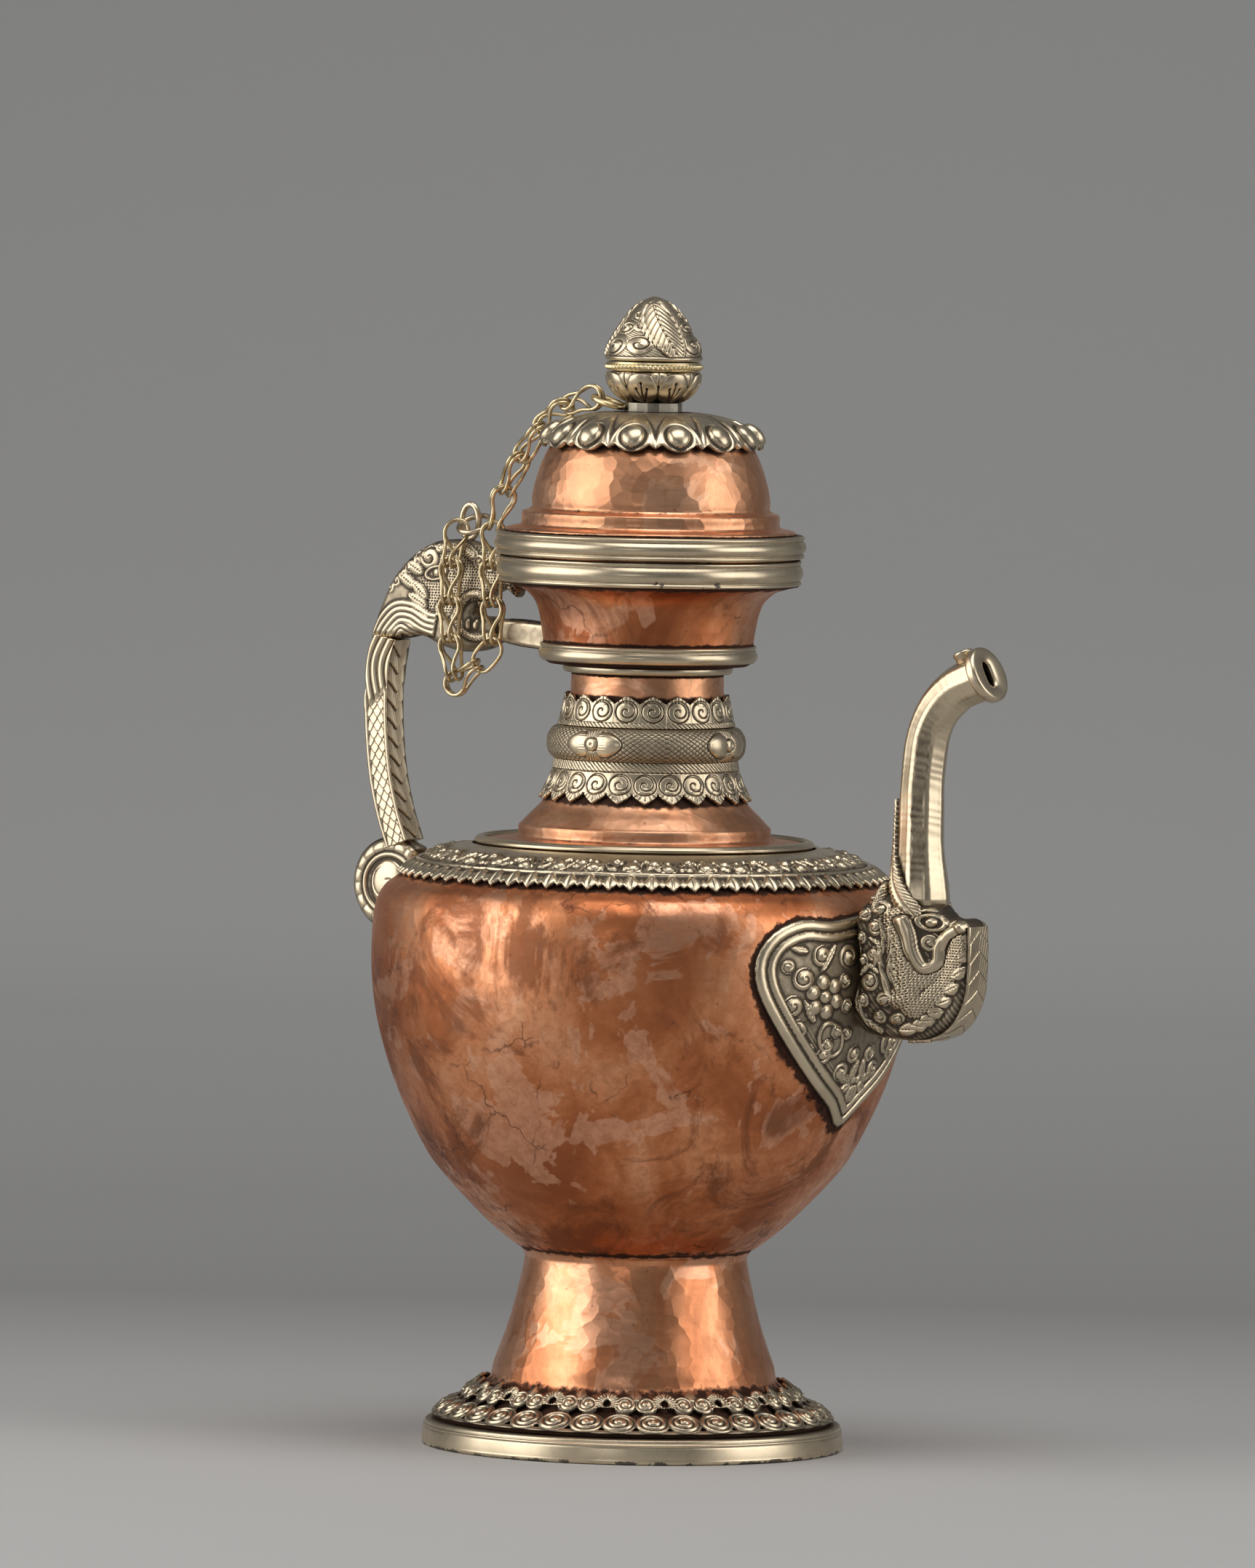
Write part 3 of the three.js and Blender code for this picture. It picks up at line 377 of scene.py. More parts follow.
def look_group(name, inputs):
    """A node group that turns a place and the given inputs into colour, roughness and height."""
    tree = bpy.data.node_groups.new(name, "ShaderNodeTree")
    tree.interface.new_socket("Place", in_out="INPUT", socket_type="NodeSocketVector")
    for label, value in inputs.items():
        socket = tree.interface.new_socket(label, in_out="INPUT", socket_type="NodeSocketFloat")
        socket.default_value = value
    for label, kind in (("Colour", "Color"), ("Roughness", "Float"), ("Height", "Float")):
        tree.interface.new_socket(label, in_out="OUTPUT", socket_type="NodeSocket" + kind)
    return tree, tree.nodes.new("NodeGroupInput").outputs, tree.nodes.new("NodeGroupOutput").inputs


def copper_look():
    """Colour, roughness and height of hammered, polished and darkened copper."""
    tree, given, result = look_group("worked_copper", {
        "Facet scale": 140, "Facet depth": 1, "Seam": 0, "Dull": 0.5, "Pale": 0})
    place, dull = given["Place"], given["Dull"]
    cloud = noise(tree, place, 17, 5, 0.6, 0.7)
    tone = colour_steps(tree, cloud, [
        (0.34, (0.84, 0.42, 0.24)), (0.44, (0.74, 0.305, 0.145)), (0.53, (0.57, 0.195, 0.08)),
        (0.64, (0.36, 0.11, 0.045)),
    ])
    pink = patches(tree, noise(tree, place, 34, 4, 0.6, 0.5), 0.53, 0.55)
    tone = stained(tree, tone, pink, 0.58, (0.86, 0.47, 0.30))
    brown = times(tree, patches(tree, noise(tree, place, 23, 6, 0.66, 1.2), 0.51, 0.60), dull)
    tone = stained(tree, tone, brown, 0.92, (0.22, 0.08, 0.04))
    grain = times(tree, patches(tree, noise(tree, place, 240, 5, 0.7, 0.4), 0.42, 0.62), dull)
    tone = stained(tree, tone, grain, 0.5, (0.40, 0.135, 0.05))
    crack = new_node(tree, "ShaderNodeTexVoronoi", {
        "Vector": shifted(tree, place, 90, 4, 0.02), "Scale": 42,
    }, feature="DISTANCE_TO_EDGE").outputs["Distance"]
    crack = colour_steps(tree, crack, [(0.0, 1.0), (0.028, 0.0)])
    crack = times(tree, crack, patches(tree, noise(tree, place, 31, 3, 0.6), 0.53, 0.6))
    tone = stained(tree, tone, times(tree, crack, dull), 0.8, (0.09, 0.035, 0.025))
    tone = blended(tree, given["Pale"], tone, (0.80, 0.51, 0.32))
    speck = patches(tree, noise(tree, place, 420, 3, 0.6), 0.68, 0.74)
    tone = stained(tree, tone, speck, 0.55, (0.16, 0.06, 0.045))
    ragged = clouded(tree, given["Seam"], noise(tree, place, 210, 5, 0.7), 1.1)
    seam = patches(tree, ragged, 0.42, 0.62)
    feed(tree, result["Colour"], stained(tree, tone, seam, 0.92, (0.035, 0.022, 0.02)))
    brushed = noise(tree, place, 900, 3, 0.6, 0, (0.12, 0.12, 1))
    feed(tree, result["Roughness"], summed(
        tree, 0.15, (brushed, 0.13), (dull, 0.10), (brown, 0.14), (grain, 0.10), (seam, 0.4),
        (cloud, 0.10), clamp=True))
    blow = new_node(tree, "ShaderNodeTexVoronoi", {
        "Vector": shifted(tree, place, 60, 2, 0.006), "Scale": given["Facet scale"],
        "Randomness": 0.85,
    }, feature="F1").outputs["Distance"]
    blow = times(tree, times(tree, blow, blow), given["Facet depth"])
    height = summed(tree, blow, (noise(tree, place, 30, 2, 0.5), 0.8), (brushed, 0.018))
    feed(tree, result["Height"], calc(tree, "SUBTRACT", height, times(tree, seam, 0.35)))
    return tree


def look_metal(name, group, marks, depth, strength, **inputs):
    """Metal whose look a node group makes from the mesh's marks and the given inputs."""
    material, tree, place = new_material(name)
    inputs = {label.capitalize().replace("_", " "): value for label, value in inputs.items()}
    inputs.update({label: marked(tree, label.lower()) for label in marks})
    look = new_node(tree, "ShaderNodeGroup", {"Place": place, **inputs}, node_tree=group).outputs
    show(tree, surface(
        tree, look["Colour"], look["Roughness"], look["Height"], depth, strength))
    return material


copper_group = copper_look()


def copper_material(name, facet_scale, facet_depth, dull, paler=0.0):
    """Copper with hammer marks of the given number per metre and depth."""
    return look_metal(
        name, copper_group, ["Seam"], 0.00025, 1.0,
        facet_scale=facet_scale, facet_depth=facet_depth, dull=dull, pale=paler)


def pale_look():
    """Colour, roughness and height of worked nickel silver, dark in its recesses."""
    tree, given, result = look_group("worked_pale_metal", {"Relief": 0, "Worn": 0})
    place, worn = given["Place"], given["Worn"]
    cloud = noise(tree, place, 40, 5, 0.6, 0.5)
    tone = colour_steps(tree, cloud, [
        (0.32, (0.53, 0.435, 0.305)), (0.5, (0.63, 0.525, 0.375)), (0.68, (0.72, 0.60, 0.425)),
    ])
    grime = clouded(tree, given["Relief"], noise(tree, place, 500, 4, 0.65), 0.35)
    dark = colour_steps(tree, grime, [(0.15, 1.0), (0.42, 0.45), (0.64, 0.0)])
    tone = stained(tree, tone, dark, 0.93, (0.055, 0.042, 0.034))
    bare = clouded(tree, worn, noise(tree, place, 95, 5, 0.7, 0.4), 1.6)
    bare = times(tree, patches(tree, bare, 0.55, 0.60), calc(tree, "GREATER_THAN", worn, 0.01))
    feed(tree, result["Colour"], stained(tree, tone, bare, 0.9, (0.10, 0.085, 0.075)))
    rubbed = noise(tree, place, 1300, 3, 0.6)
    feed(tree, result["Roughness"], summed(
        tree, 0.19, (rubbed, 0.12), (dark, 0.30), (bare, 0.32), (cloud, 0.10), clamp=True))
    height = summed(tree, times(tree, rubbed, 0.03), (noise(tree, place, 140, 2, 0.4), 0.28))
    feed(tree, result["Height"], calc(tree, "SUBTRACT", height, times(tree, bare, 0.25)))
    return tree


pale_metal = look_metal("worked_pale_metal", pale_look(), ["Relief", "Worn"], 0.0002, 0.9)


def finish_piece(piece, material, body, slot, *nodes):
    """Gives a piece its material, its body and the solids it stands for."""
    piece.data.materials.append(material)
    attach(piece, body)
    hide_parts(*nodes)


foot_band = np.vstack([
    [[69.6, 0.0], [74.4, 0.0]], spline([[74.9, 0.15], [75.3, 0.6], [75.4, 1.4]], 4),
    raised([75.35, 1.6], [75.0, 6.0], 0.05), raised([74.7, 6.3], [74.4, 7.5], 0.45, 6),
    raised([74.4, 7.7], [73.6, 8.95], 0.3, 6), [[69.6, 9.0]],
])
band_worn = np.interp(foot_band[:, 1], [0, 1.0, 2.6, 9], [0.62, 0.52, 0.0, 0.0])
foot_band_piece = turned_ring("foot_rim_band_look", foot_band, 240, {
    "relief": np.interp(
        foot_band[:, 1], [0, 6.0, 6.25, 6.6, 7.4, 7.6, 7.8, 9], [1, 1, 0.1, 1, 1, 0.15, 0.9, 0.3],
    ),
    "worn": band_worn,
})
finish_piece(foot_band_piece, pale_metal, "vessel", "pale_metal", "foot_rim_band")

cone_outer = np.vstack([[[70.3, 9.15], [70.3, 10.6]], spline([
    [66.0, 12.9], [61.0, 15.8], [55.2, 21.2], [51.4, 24.2], [50.1, 29.5], [48.2, 34.8],
    [44.7, 45.2], [42.1, 55.6], [39.9, 66.2], [40.1, 69.0], [41.2, 70.9],
], 9)])
cone_inner = cone_outer[::-1] + [-1.25, -0.2]
cone_inner = cone_inner[cone_inner[:, 1] > 10]
cone_section = np.vstack([cone_outer, [[38.6, 71.0]], cone_inner[2:], [[68.9, 9.15]]])
cone_seam = np.interp(
    cone_section[:, 1], [9, 24, 28, 68.6, 70, 71], [0.9, 0.6, 0.05, 0.0, 0.4, 0.7])
foot_cone_piece = turned_ring("foot_cone_look", cone_section, 240, {"seam": cone_seam})
finish_piece(
    foot_cone_piece, copper_material("foot_copper", 185, 0.75, 0.35, 0.1), "vessel", "copper_sheet",
    "foot_cone")


def disc_place(along, across, centre_along, centre_across):
    """Distance and turn of each point about a centre on a worked sheet."""
    return (
        np.hypot(along - centre_along, across - centre_across),
        np.arctan2(across - centre_across, along - centre_along),
    )


def dome(distance, radius):
    """1 at the middle of a round boss and 0 from its edge outward."""
    return np.sqrt(np.clip(1 - (distance / radius) ** 2, 0, 1))


def groove(distance, width):
    """1 on a cut line, falling to 0 at half its width away."""
    return np.clip(1 - (2 * distance / width) ** 2, 0, 1)


def stripes(value, pitch, width):
    """1 on each of a row of cut lines that lie pitch apart, 0 between them."""
    return groove(np.abs((value / pitch) % 1 - 0.5) * pitch, width)


def curl_line(distance, turned, radius, turns, hand):
    """Distance from a spiral that winds from the edge of a disc to its middle."""
    pitch = radius / turns
    phase = distance / pitch - hand * turned / math.tau
    return np.abs(phase - np.round(phase)) * pitch


def slope_out(run, heights):
    """Unit vectors square to a section that runs upward, pointing away from the axis."""
    step_r, step_z = np.gradient(run), np.gradient(heights)
    size = np.hypot(step_r, step_z)
    return step_z / size, -step_r / size


def soften_round(height):
    """Heights blurred over a few cells each way, all round a ring."""
    soft = height
    for _ in range(3):
        soft = (soft + np.roll(soft, 2, 1) + np.roll(soft, -2, 1)) / 3
        padded = np.pad(soft, ((2, 2), (0, 0)), mode="edge")
        soft = (padded[:-4] + padded[2:-2] + padded[4:]) / 3
    return soft


def brightness(height, soft, base, sharp, middle=0.0, slow=0.0):
    """How bright worked metal is: by its height over what lies close by, and over the middle."""
    return np.clip(base + (height - soft) * sharp + (height - middle) * slow, 0, 1)


RING_WALL = 0.5
EDGE_NUDGE = 0.05


def worked_ring(
        name, section, repeats, columns, rows, motif, metal, start, seed, bright=0.62,
        numbered=False):
    """A raised and cut-out band of sheet round the ewer's axis.

    The section is measured up from its lower edge in millimetres. The motif gives the height of the
    work at a place along one repeat and up the section; where it is numbered, it is also told which
    repeat that is. metal gives how far a place lies inside the cut outline, and the sheet is open
    where that is below zero. The seed makes the repeats a little uneven, as done by hand.
    """
    path = spline(section, 12)
    lengths = run_along(path)
    up = np.linspace(0, lengths[-1], rows)
    turns = turn_steps(columns)
    pitch = math.tau * np.interp(up.mean(), lengths, path[:, 0]) / repeats
    place = (turns - start) / math.tau * repeats
    along, across = np.meshgrid((place - np.round(place)) * pitch, up)
    which = np.meshgrid(np.round(place).astype(int) % repeats, up)[0]
    cell = max(lengths[-1] / rows, pitch * repeats / columns)
    for _ in range(2):
        inside = metal(along, across)
        pull_along = (metal(along + EDGE_NUDGE, across) - inside) / EDGE_NUDGE
        pull_across = (metal(along, across + EDGE_NUDGE) - inside) / EDGE_NUDGE
        steep = np.maximum(pull_along ** 2 + pull_across ** 2, 0.2)
        near = np.abs(inside) < cell * 0.75
        along = np.where(near, along - inside * pull_along / steep, along)
        moved = np.where(near, across - inside * pull_across / steep, across)
        across = np.clip(moved, 0, lengths[-1])
    keep = metal(along, across) > -cell * 0.25
    hand_made = np.random.default_rng(seed).normal(0, 1, (repeats,))
    height = motif(along, across, which) if numbered else motif(along, across)
    height = height * (1 + 0.05 * hand_made[which])
    middle_turn = np.round(place) / repeats * math.tau + start
    local_turn = along / pitch / repeats * math.tau + middle_turn[None, :]
    run, rise, side_r, side_z = (
        np.interp(across, lengths, values) for values in (*path.T, *slope_out(*path.T)))
    outer = spun(run + side_r * height, rise + side_z * height, local_turn)
    inner = spun(run - side_r * RING_WALL, rise - side_z * RING_WALL, local_turn)
    relief = brightness(height, soften_round(height), bright, 2.6, height.mean(), 0.28)
    return sheet_shell(name, outer, inner, keep, relief)


def sheet_shell(name, outer, inner, keep, relief, wrap=True, behind=0.3):
    """Two grids joined into one closed sheet, open where keep is false."""
    rows, columns = keep.shape
    span = columns if wrap else columns - 1
    beside = (np.arange(span) + 1) % columns
    whole = keep[:-1, :span] & keep[1:, :span] & keep[:-1][:, beside] & keep[1:][:, beside]
    number = np.arange(rows * columns).reshape(rows, columns)
    low_left, low_right = number[:-1, :span], number[:-1][:, beside]
    high_left, high_right = number[1:, :span], number[1:][:, beside]
    shift = rows * columns
    front = np.stack([low_left, low_right, high_right, high_left], -1)[whole]
    back = front[:, ::-1] + shift
    walls = []
    padded = np.pad(whole, ((1, 1), (0, 0)))
    left_of = np.roll(whole, 1, 1)
    right_of = np.roll(whole, -1, 1)
    if not wrap:
        left_of[:, 0] = False
        right_of[:, -1] = False
    for a, b, open_side in (
        (low_left, low_right, ~padded[:-2]), (high_right, high_left, ~padded[2:]),
        (high_left, low_left, ~left_of), (low_right, high_right, ~right_of),
    ):
        edge = whole & open_side
        walls.append(np.stack([b[edge], a[edge], a[edge] + shift, b[edge] + shift], -1))
    faces = np.vstack([front, back] + walls)
    points = np.vstack([outer.reshape(-1, 3), inner.reshape(-1, 3)])
    used = np.unique(faces)
    renumber = np.zeros(len(points), dtype=np.int32)
    renumber[used] = np.arange(len(used))
    tint = np.concatenate([relief.ravel(), relief.ravel() * behind])
    return put_mesh(name, points[used], [renumber[faces]], {"relief": tint[used]})


BIG_SCROLL, SMALL_SCROLL = (5.3, 5.7), (3.7, 15.6)
FOOT_HALF_PITCH = 10.83
FAN_UP = 16.2


def winding(far, turned, pitch, hand):
    """1 on the ridges and -1 in the grooves of a spiral round a disc's middle."""
    return np.cos(math.tau * (far / pitch + hand * turned / math.tau))


def foot_fan_place(along, across):
    """Place of a point about the middle of the fan between two pairs of scrolls."""
    fold = FOOT_HALF_PITCH - np.abs(along)
    return fold, np.hypot(fold, across - FAN_UP), np.arctan2(across - FAN_UP, fold)


def foot_metal(along, across):
    """How far a place lies inside the foot collar's cut outline."""
    inside = 1.5 - across
    for side in (-1, 1):
        for (aside, up), radius in ((BIG_SCROLL, 5.5), (SMALL_SCROLL, 3.9)):
            far = disc_place(along, across, side * aside, up)[0]
            inside = np.maximum(inside, radius - far)
    bridge = 1.3 - np.abs(across - 11.1) - 0.55 * np.abs(np.abs(along) - 4.6)
    tip = np.minimum(22.6 - across - 1.05 * np.abs(along), across - 15.5)
    fold, far, _ = foot_fan_place(along, across)
    fan = 5.3 - far - 0.25 * np.abs(np.sin(fold * 1.6))
    fan = np.minimum(fan, np.minimum(far - 1.7, across - 14.3))
    tie = 1.5 - np.hypot(fold - 5.2, (across - 13.8) * 0.6)
    return np.maximum.reduce([inside, bridge, tip, fan, tie])


def foot_motif(along, across):
    """Heights of the foot collar's scrolls, fans and leaf tips."""
    height = np.zeros_like(along)
    for side in (-1, 1):
        far, turned = disc_place(along, across, side * BIG_SCROLL[0], BIG_SCROLL[1])
        fade = np.clip(1 - (far - 4.6) / 0.9, 0, 1) * (far < 5.5) * np.clip((far - 0.8) / 0.8, 0, 1)
        big = 0.75 * dome(far, 5.6) + 0.75 * np.exp(-(far / 1.35) ** 2)
        big += 0.42 * winding(far, turned, 1.85, -side) * fade
        far, turned = disc_place(along, across, side * SMALL_SCROLL[0], SMALL_SCROLL[1])
        fade = (far < 3.7) * np.clip((far - 0.6) / 0.6, 0, 1)
        small = 0.85 * dome(far, 3.9) + 0.6 * np.exp(-(far / 1.0) ** 2)
        small += 0.32 * winding(far, turned, 1.5, side) * fade
        height = np.maximum.reduce([height, big, small])
    _, far, turned = foot_fan_place(along, across)
    ribs = 0.55 + 0.30 * np.cos(turned * 22)
    fan = ribs * np.clip((5.3 - far) / 0.7, 0, 1) * np.clip((far - 1.6) / 0.5, 0, 1)
    tip = (0.75 - 0.25 * np.abs(along) + 0.12 * np.cos(along * 7)) * (across > 17.2)
    return np.maximum.reduce([height, fan, np.clip(tip, 0, 1)]) + 0.15


foot_collar_piece = worked_ring(
    "foot_scroll_collar_look",
    [[72.0, 10.9], [67.3, 14.0], [62.2, 16.9], [56.6, 22.0], [52.9, 25.0], [51.9, 29.4]],
    18, 1116, 84, foot_motif, foot_metal, math.radians(4), 3)
finish_piece(foot_collar_piece, pale_metal, "vessel", "pale_metal", "foot_scroll_collar")

# Body
# One raised copper bowl, planished and polished, soldered to the foot, with dark solder
# where mounts sit on it. A chased collar and a plain ring lie over its shoulder.
bowl_outer = spline([
    [41.4, 71.0], [45.6, 73.8], [54.9, 81.6], [69.8, 97.2], [77.2, 107.6], [87.1, 128.4],
    [93.6, 149], [96.3, 166], [96.6, 182], [95.6, 192.6], [92.8, 198.8], [88.6, 202.3], [80, 207.6],
    [70, 212], [57.6, 214.9], [44.4, 215.2],
], 9)
bowl_inner = spline([
    [43.2, 213.8], [57.2, 213.5], [69.4, 210.6], [79.2, 206.3], [87.6, 201.2], [91.6, 198],
    [94.2, 192.2], [95.2, 182], [94.9, 166], [92.2, 149.4], [85.8, 129], [76, 108.3], [68.8, 98.2],
    [54, 82.6], [44.8, 75], [40, 72.4],
], 6)
bowl_section = np.vstack([bowl_outer, bowl_inner, [[39.8, 71.0]]])
bowl_seam = np.interp(
    bowl_section[:, 1], [71, 72, 74, 76, 199, 202.6, 204.4], [0.8, 0.55, 0.3, 0.0, 0.0, 0.42, 0.9])
bowl_piece = turned_ring("body_bowl_look", bowl_section, 300, {"seam": bowl_seam})
finish_piece(
    bowl_piece, copper_material("body_copper", 125, 0.6, 0.9), "vessel", "copper_sheet",
    "body_bowl", "body_shoulder",
)


LEAF_HALF_PITCH = 3.72
LEAFY_BORDER = 10.3


def shoulder_metal(along, across):
    """How far a place lies inside the shoulder collar's leafy outline."""
    fold = np.abs(along)
    tip = across - 0.35 - 1.05 * fold ** 1.15
    behind = across - 1.3 - 1.1 * np.abs(LEAF_HALF_PITCH - fold)
    return np.maximum(tip, behind)


def leaf(along, across, centre, bottom, top, half_width):
    """Height of a raised leaf standing from bottom to top with a sunk vein."""
    share = np.clip((across - bottom) / (top - bottom), 0, 1)
    width = half_width * np.sin(math.pi * np.clip(share, 0.02, 1) ** 0.75) ** 0.8 + 0.01
    off = np.abs(along - centre) / width
    body = dome(off, 1) * (across > bottom) * (across < top)
    return body * (1 - 0.35 * np.exp(-(off / 0.12) ** 2))


def shoulder_motif(along, across, which):
    """Heights of the leaf fringe, the bead and the vine with its berries."""
    height = np.maximum.reduce([
        0.25 + 0.9 * leaf(along, across, 0, 0.2, 7.6, 3.1),
        0.22 + 0.6 * leaf(np.abs(along), across, LEAF_HALF_PITCH, 1.2, 6.4, 1.9),
        0.2 + 0.75 * dome(np.hypot(along, across - 6.7), 1.5),
    ])
    height += 0.7 * groove(np.abs(across - 9.0), 1.5) - 0.2 * groove(np.abs(across - 10.2), 0.9)
    part = which % 4
    centre = np.choose(part, [0.0, 1.2, -0.6, 0.8])
    lift = np.choose(part, [14.2, 17.0, 13.4, 18.4])
    size = np.choose(part, [2.6, 2.0, 2.3, 1.6])
    far, turned = disc_place(along, across, centre, lift)
    berry = 1.15 * dome(far, size) + 0.45 * groove(np.abs(far - size - 0.7), 0.9)
    berry += 0.3 * np.cos(turned * 5 + which) * np.exp(-((far - size - 1.9) / 1.1) ** 2)
    stem = np.abs(across - 15.8 - 3.2 * np.sin(which * 1.9 + along * 0.75))
    berry = np.maximum(berry, 0.75 * dome(stem, 0.9))
    small = disc_place(along, across, -centre * 1.3 + 2.4 * (part % 2) - 1.2, 31.2 - lift)[0]
    berry = np.maximum(berry, 0.8 * dome(small, 1.35))
    vine = 0.2 + berry * np.clip((across - LEAFY_BORDER) / 0.6, 0, 1)
    height = np.where(across > LEAFY_BORDER, np.maximum(height, vine), height)
    return height * 1.3


shoulder_piece = worked_ring(
    "shoulder_collar_look",
    [[87.6, 203.4], [84.6, 206.3], [79.4, 209.4], [71.9, 212.6], [66.3, 214.1], [61.6, 215.0]],
    72, 1512, 62, shoulder_motif, shoulder_metal, 0.0, 5, 0.74, numbered=True)
finish_piece(shoulder_piece, pale_metal, "vessel", "pale_metal", "shoulder_collar")

shoulder_ring_section = np.vstack([
    [[57.7, 215.3]], raised([59.8, 215.2], [60.6, 217.0], 0.5, 8),
    raised([60.2, 217.2], [58.6, 218.0], 0.25, 5),
    [[57.7, 218.0]],
])
shoulder_ring_piece = turned_ring("shoulder_ring_look", shoulder_ring_section, 240, {
    "relief": np.full(len(shoulder_ring_section), 0.85),
    "worn": np.full(len(shoulder_ring_section), 0.16),
})
finish_piece(shoulder_ring_piece, pale_metal, "vessel", "pale_metal", "shoulder_ring")

# Neck
# A stepped copper cone rises into a short tube. Two engraved collars with petal
# edges are soldered on, above and below a hollow ring cut with a net of lines.
neck_outer = np.vstack([
    [[57.2, 215.4], [57.2, 216.3]], spline([[56.6, 216.8], [52, 217.4], [46.6, 218.0]], 5),
    spline([[45.4, 218.4], [45.1, 219.2], [45.1, 221.6], [44.8, 222.4]], 4),
    spline([
        [44.2, 222.8], [41, 226.2], [37.2, 230.0], [34.2, 235.0], [32.2, 240.4], [30.6, 246],
        [29.4, 252], [28.4, 260], [27.5, 268], [27.2, 276.9],
    ], 8),
])
neck_inner = np.array([
    [26, 276.9], [26.2, 268], [27.2, 258], [29.2, 246], [31, 239], [36, 229], [43.6, 221.6],
    [43.8, 217.4], [45, 216.2], [55.8, 215.4],
])
neck_section = np.vstack([neck_outer, neck_inner])
neck_seam = np.interp(
    neck_section[:, 1], [215, 217.2, 217.9, 218.2, 218.6, 229, 232, 268, 271, 275.4, 277],
    [0.1, 0.0, 0.25, 0.75, 0.0, 0.0, 0.9, 0.9, 0.0, 0.1, 0.9],
)
neck_piece = turned_ring("neck_sheet_look", neck_section, 240, {"seam": neck_seam})
finish_piece(
    neck_piece, copper_material("neck_copper", 210, 0.5, 0.6, 0.35), "vessel", "copper_sheet",
    "neck_cone", "neck_tube",
)


def engraved_curls(along, across, middle, radius, hand):
    """Depth of an engraved scroll that opens from a disc's edge."""
    far, turned = disc_place(along, across, 0, middle)
    line = curl_line(far, turned + 0.6, radius * 0.94, 1.45, hand)
    inside = np.clip((radius * 0.97 - far) / 0.35, 0, 1)
    cut = groove(line, 0.62) * inside
    return np.maximum(cut, groove(np.abs(far - radius), 0.55))


def lower_collar_metal(along, across):
    """How far a place lies above the lower collar's petal tips."""
    fold = np.abs(along)
    return across - 0.25 - 0.62 * fold ** 1.2


def lower_collar_motif(along, across):
    """Heights of the lower neck collar: petals, scrolls and a rope line."""
    scroll = engraved_curls(along, across, 7.7, 3.95, 1)
    fan_turn = np.arctan2(along, across - 6.5)
    fade = np.clip((across - 0.9) / 0.6, 0, 1)
    ribs = groove(np.abs(np.sin(fan_turn * 8)) * 0.9, 0.5) * (across < 4.2) * fade
    height = 0.75 + 0.35 * dome(np.hypot(along, across - 7.7), 4.0)
    height += 0.35 * dome(np.hypot(along, (across - 2.6) * 0.8), 3.0)
    height -= 0.62 * scroll + 0.35 * ribs
    height -= 0.6 * groove(4.3 - np.abs(along), 0.7) * (across < 4.4)
    rope = across > 12.1
    strokes = stripes(along + across * 1.1, 1.7, 0.5)
    band = 0.9 - 0.5 * strokes - 0.45 * groove(np.abs(across - 12.3), 0.6)
    return np.where(rope, band, height)


lower_collar_piece = worked_ring(
    "neck_lower_collar_look", [[37.5, 231.3], [35.3, 235.2], [33.3, 240.2], [32.0, 246.0]],
    24, 960, 72, lower_collar_motif, lower_collar_metal, 0.05, 7)
finish_piece(lower_collar_piece, pale_metal, "vessel", "pale_metal", "neck_lower_collar")


def upper_collar_metal(along, across):
    """How far a place lies below the upper collar's peaks."""
    return 11.6 - across - 0.42 * np.abs(along) ** 1.25


def upper_collar_motif(along, across):
    """Heights of the upper neck collar: a rope line, scrolls and pointed fans."""
    scroll = engraved_curls(along, across, 6.0, 3.9, 1)
    fan_turn = np.arctan2(along, across - 6.0)
    ribs = groove(np.abs(np.sin(fan_turn * 9)) * 0.9, 0.45) * (across > 9.3) * (
        np.abs(fan_turn) < 1.0)
    height = 0.7 + 0.4 * dome(np.hypot(along, across - 6.0), 4.0) - 0.6 * scroll - 0.35 * ribs
    height += 0.25 * dome(np.hypot(along, across - 10.2), 2.4)
    strokes = stripes(along + across * 1.1, 1.6, 0.5)
    band = 0.85 - 0.5 * strokes - 0.45 * groove(np.abs(across - 1.9), 0.6)
    return np.where(across < 1.9, band, height)


upper_collar_piece = worked_ring(
    "neck_upper_collar_look", [[31.0, 258.3], [29.7, 263], [28.9, 267], [28.4, 270.3]],
    20, 900, 64, upper_collar_motif, upper_collar_metal, 0.02, 9)
finish_piece(upper_collar_piece, pale_metal, "vessel", "pale_metal", "neck_upper_collar")


def worked_torus(name, section, columns, motif):
    """A closed section turned into a ring, its outside raised or cut by the motif."""
    section = np.asarray(section, dtype=float)
    step = np.roll(section, -1, 0) - np.roll(section, 1, 0)
    out = np.stack([step[:, 1], -step[:, 0]], 1) / np.hypot(*step.T)[:, None]
    turns = turn_steps(columns)
    across, around_ring = np.meshgrid(run_along(section), turns, indexing="ij")
    height = motif(around_ring, across, section[:, :1])
    places = spun(
        section[:, :1] + out[:, :1] * height, section[:, 1:] + out[:, 1:] * height, around_ring)
    return put_mesh(
        name, places.reshape(-1, 3),
        [grid_faces(len(section), columns, wrap_rows=True, wrap_columns=True)],
        {"relief": np.clip(0.75 + height * 1.3, 0, 1)})


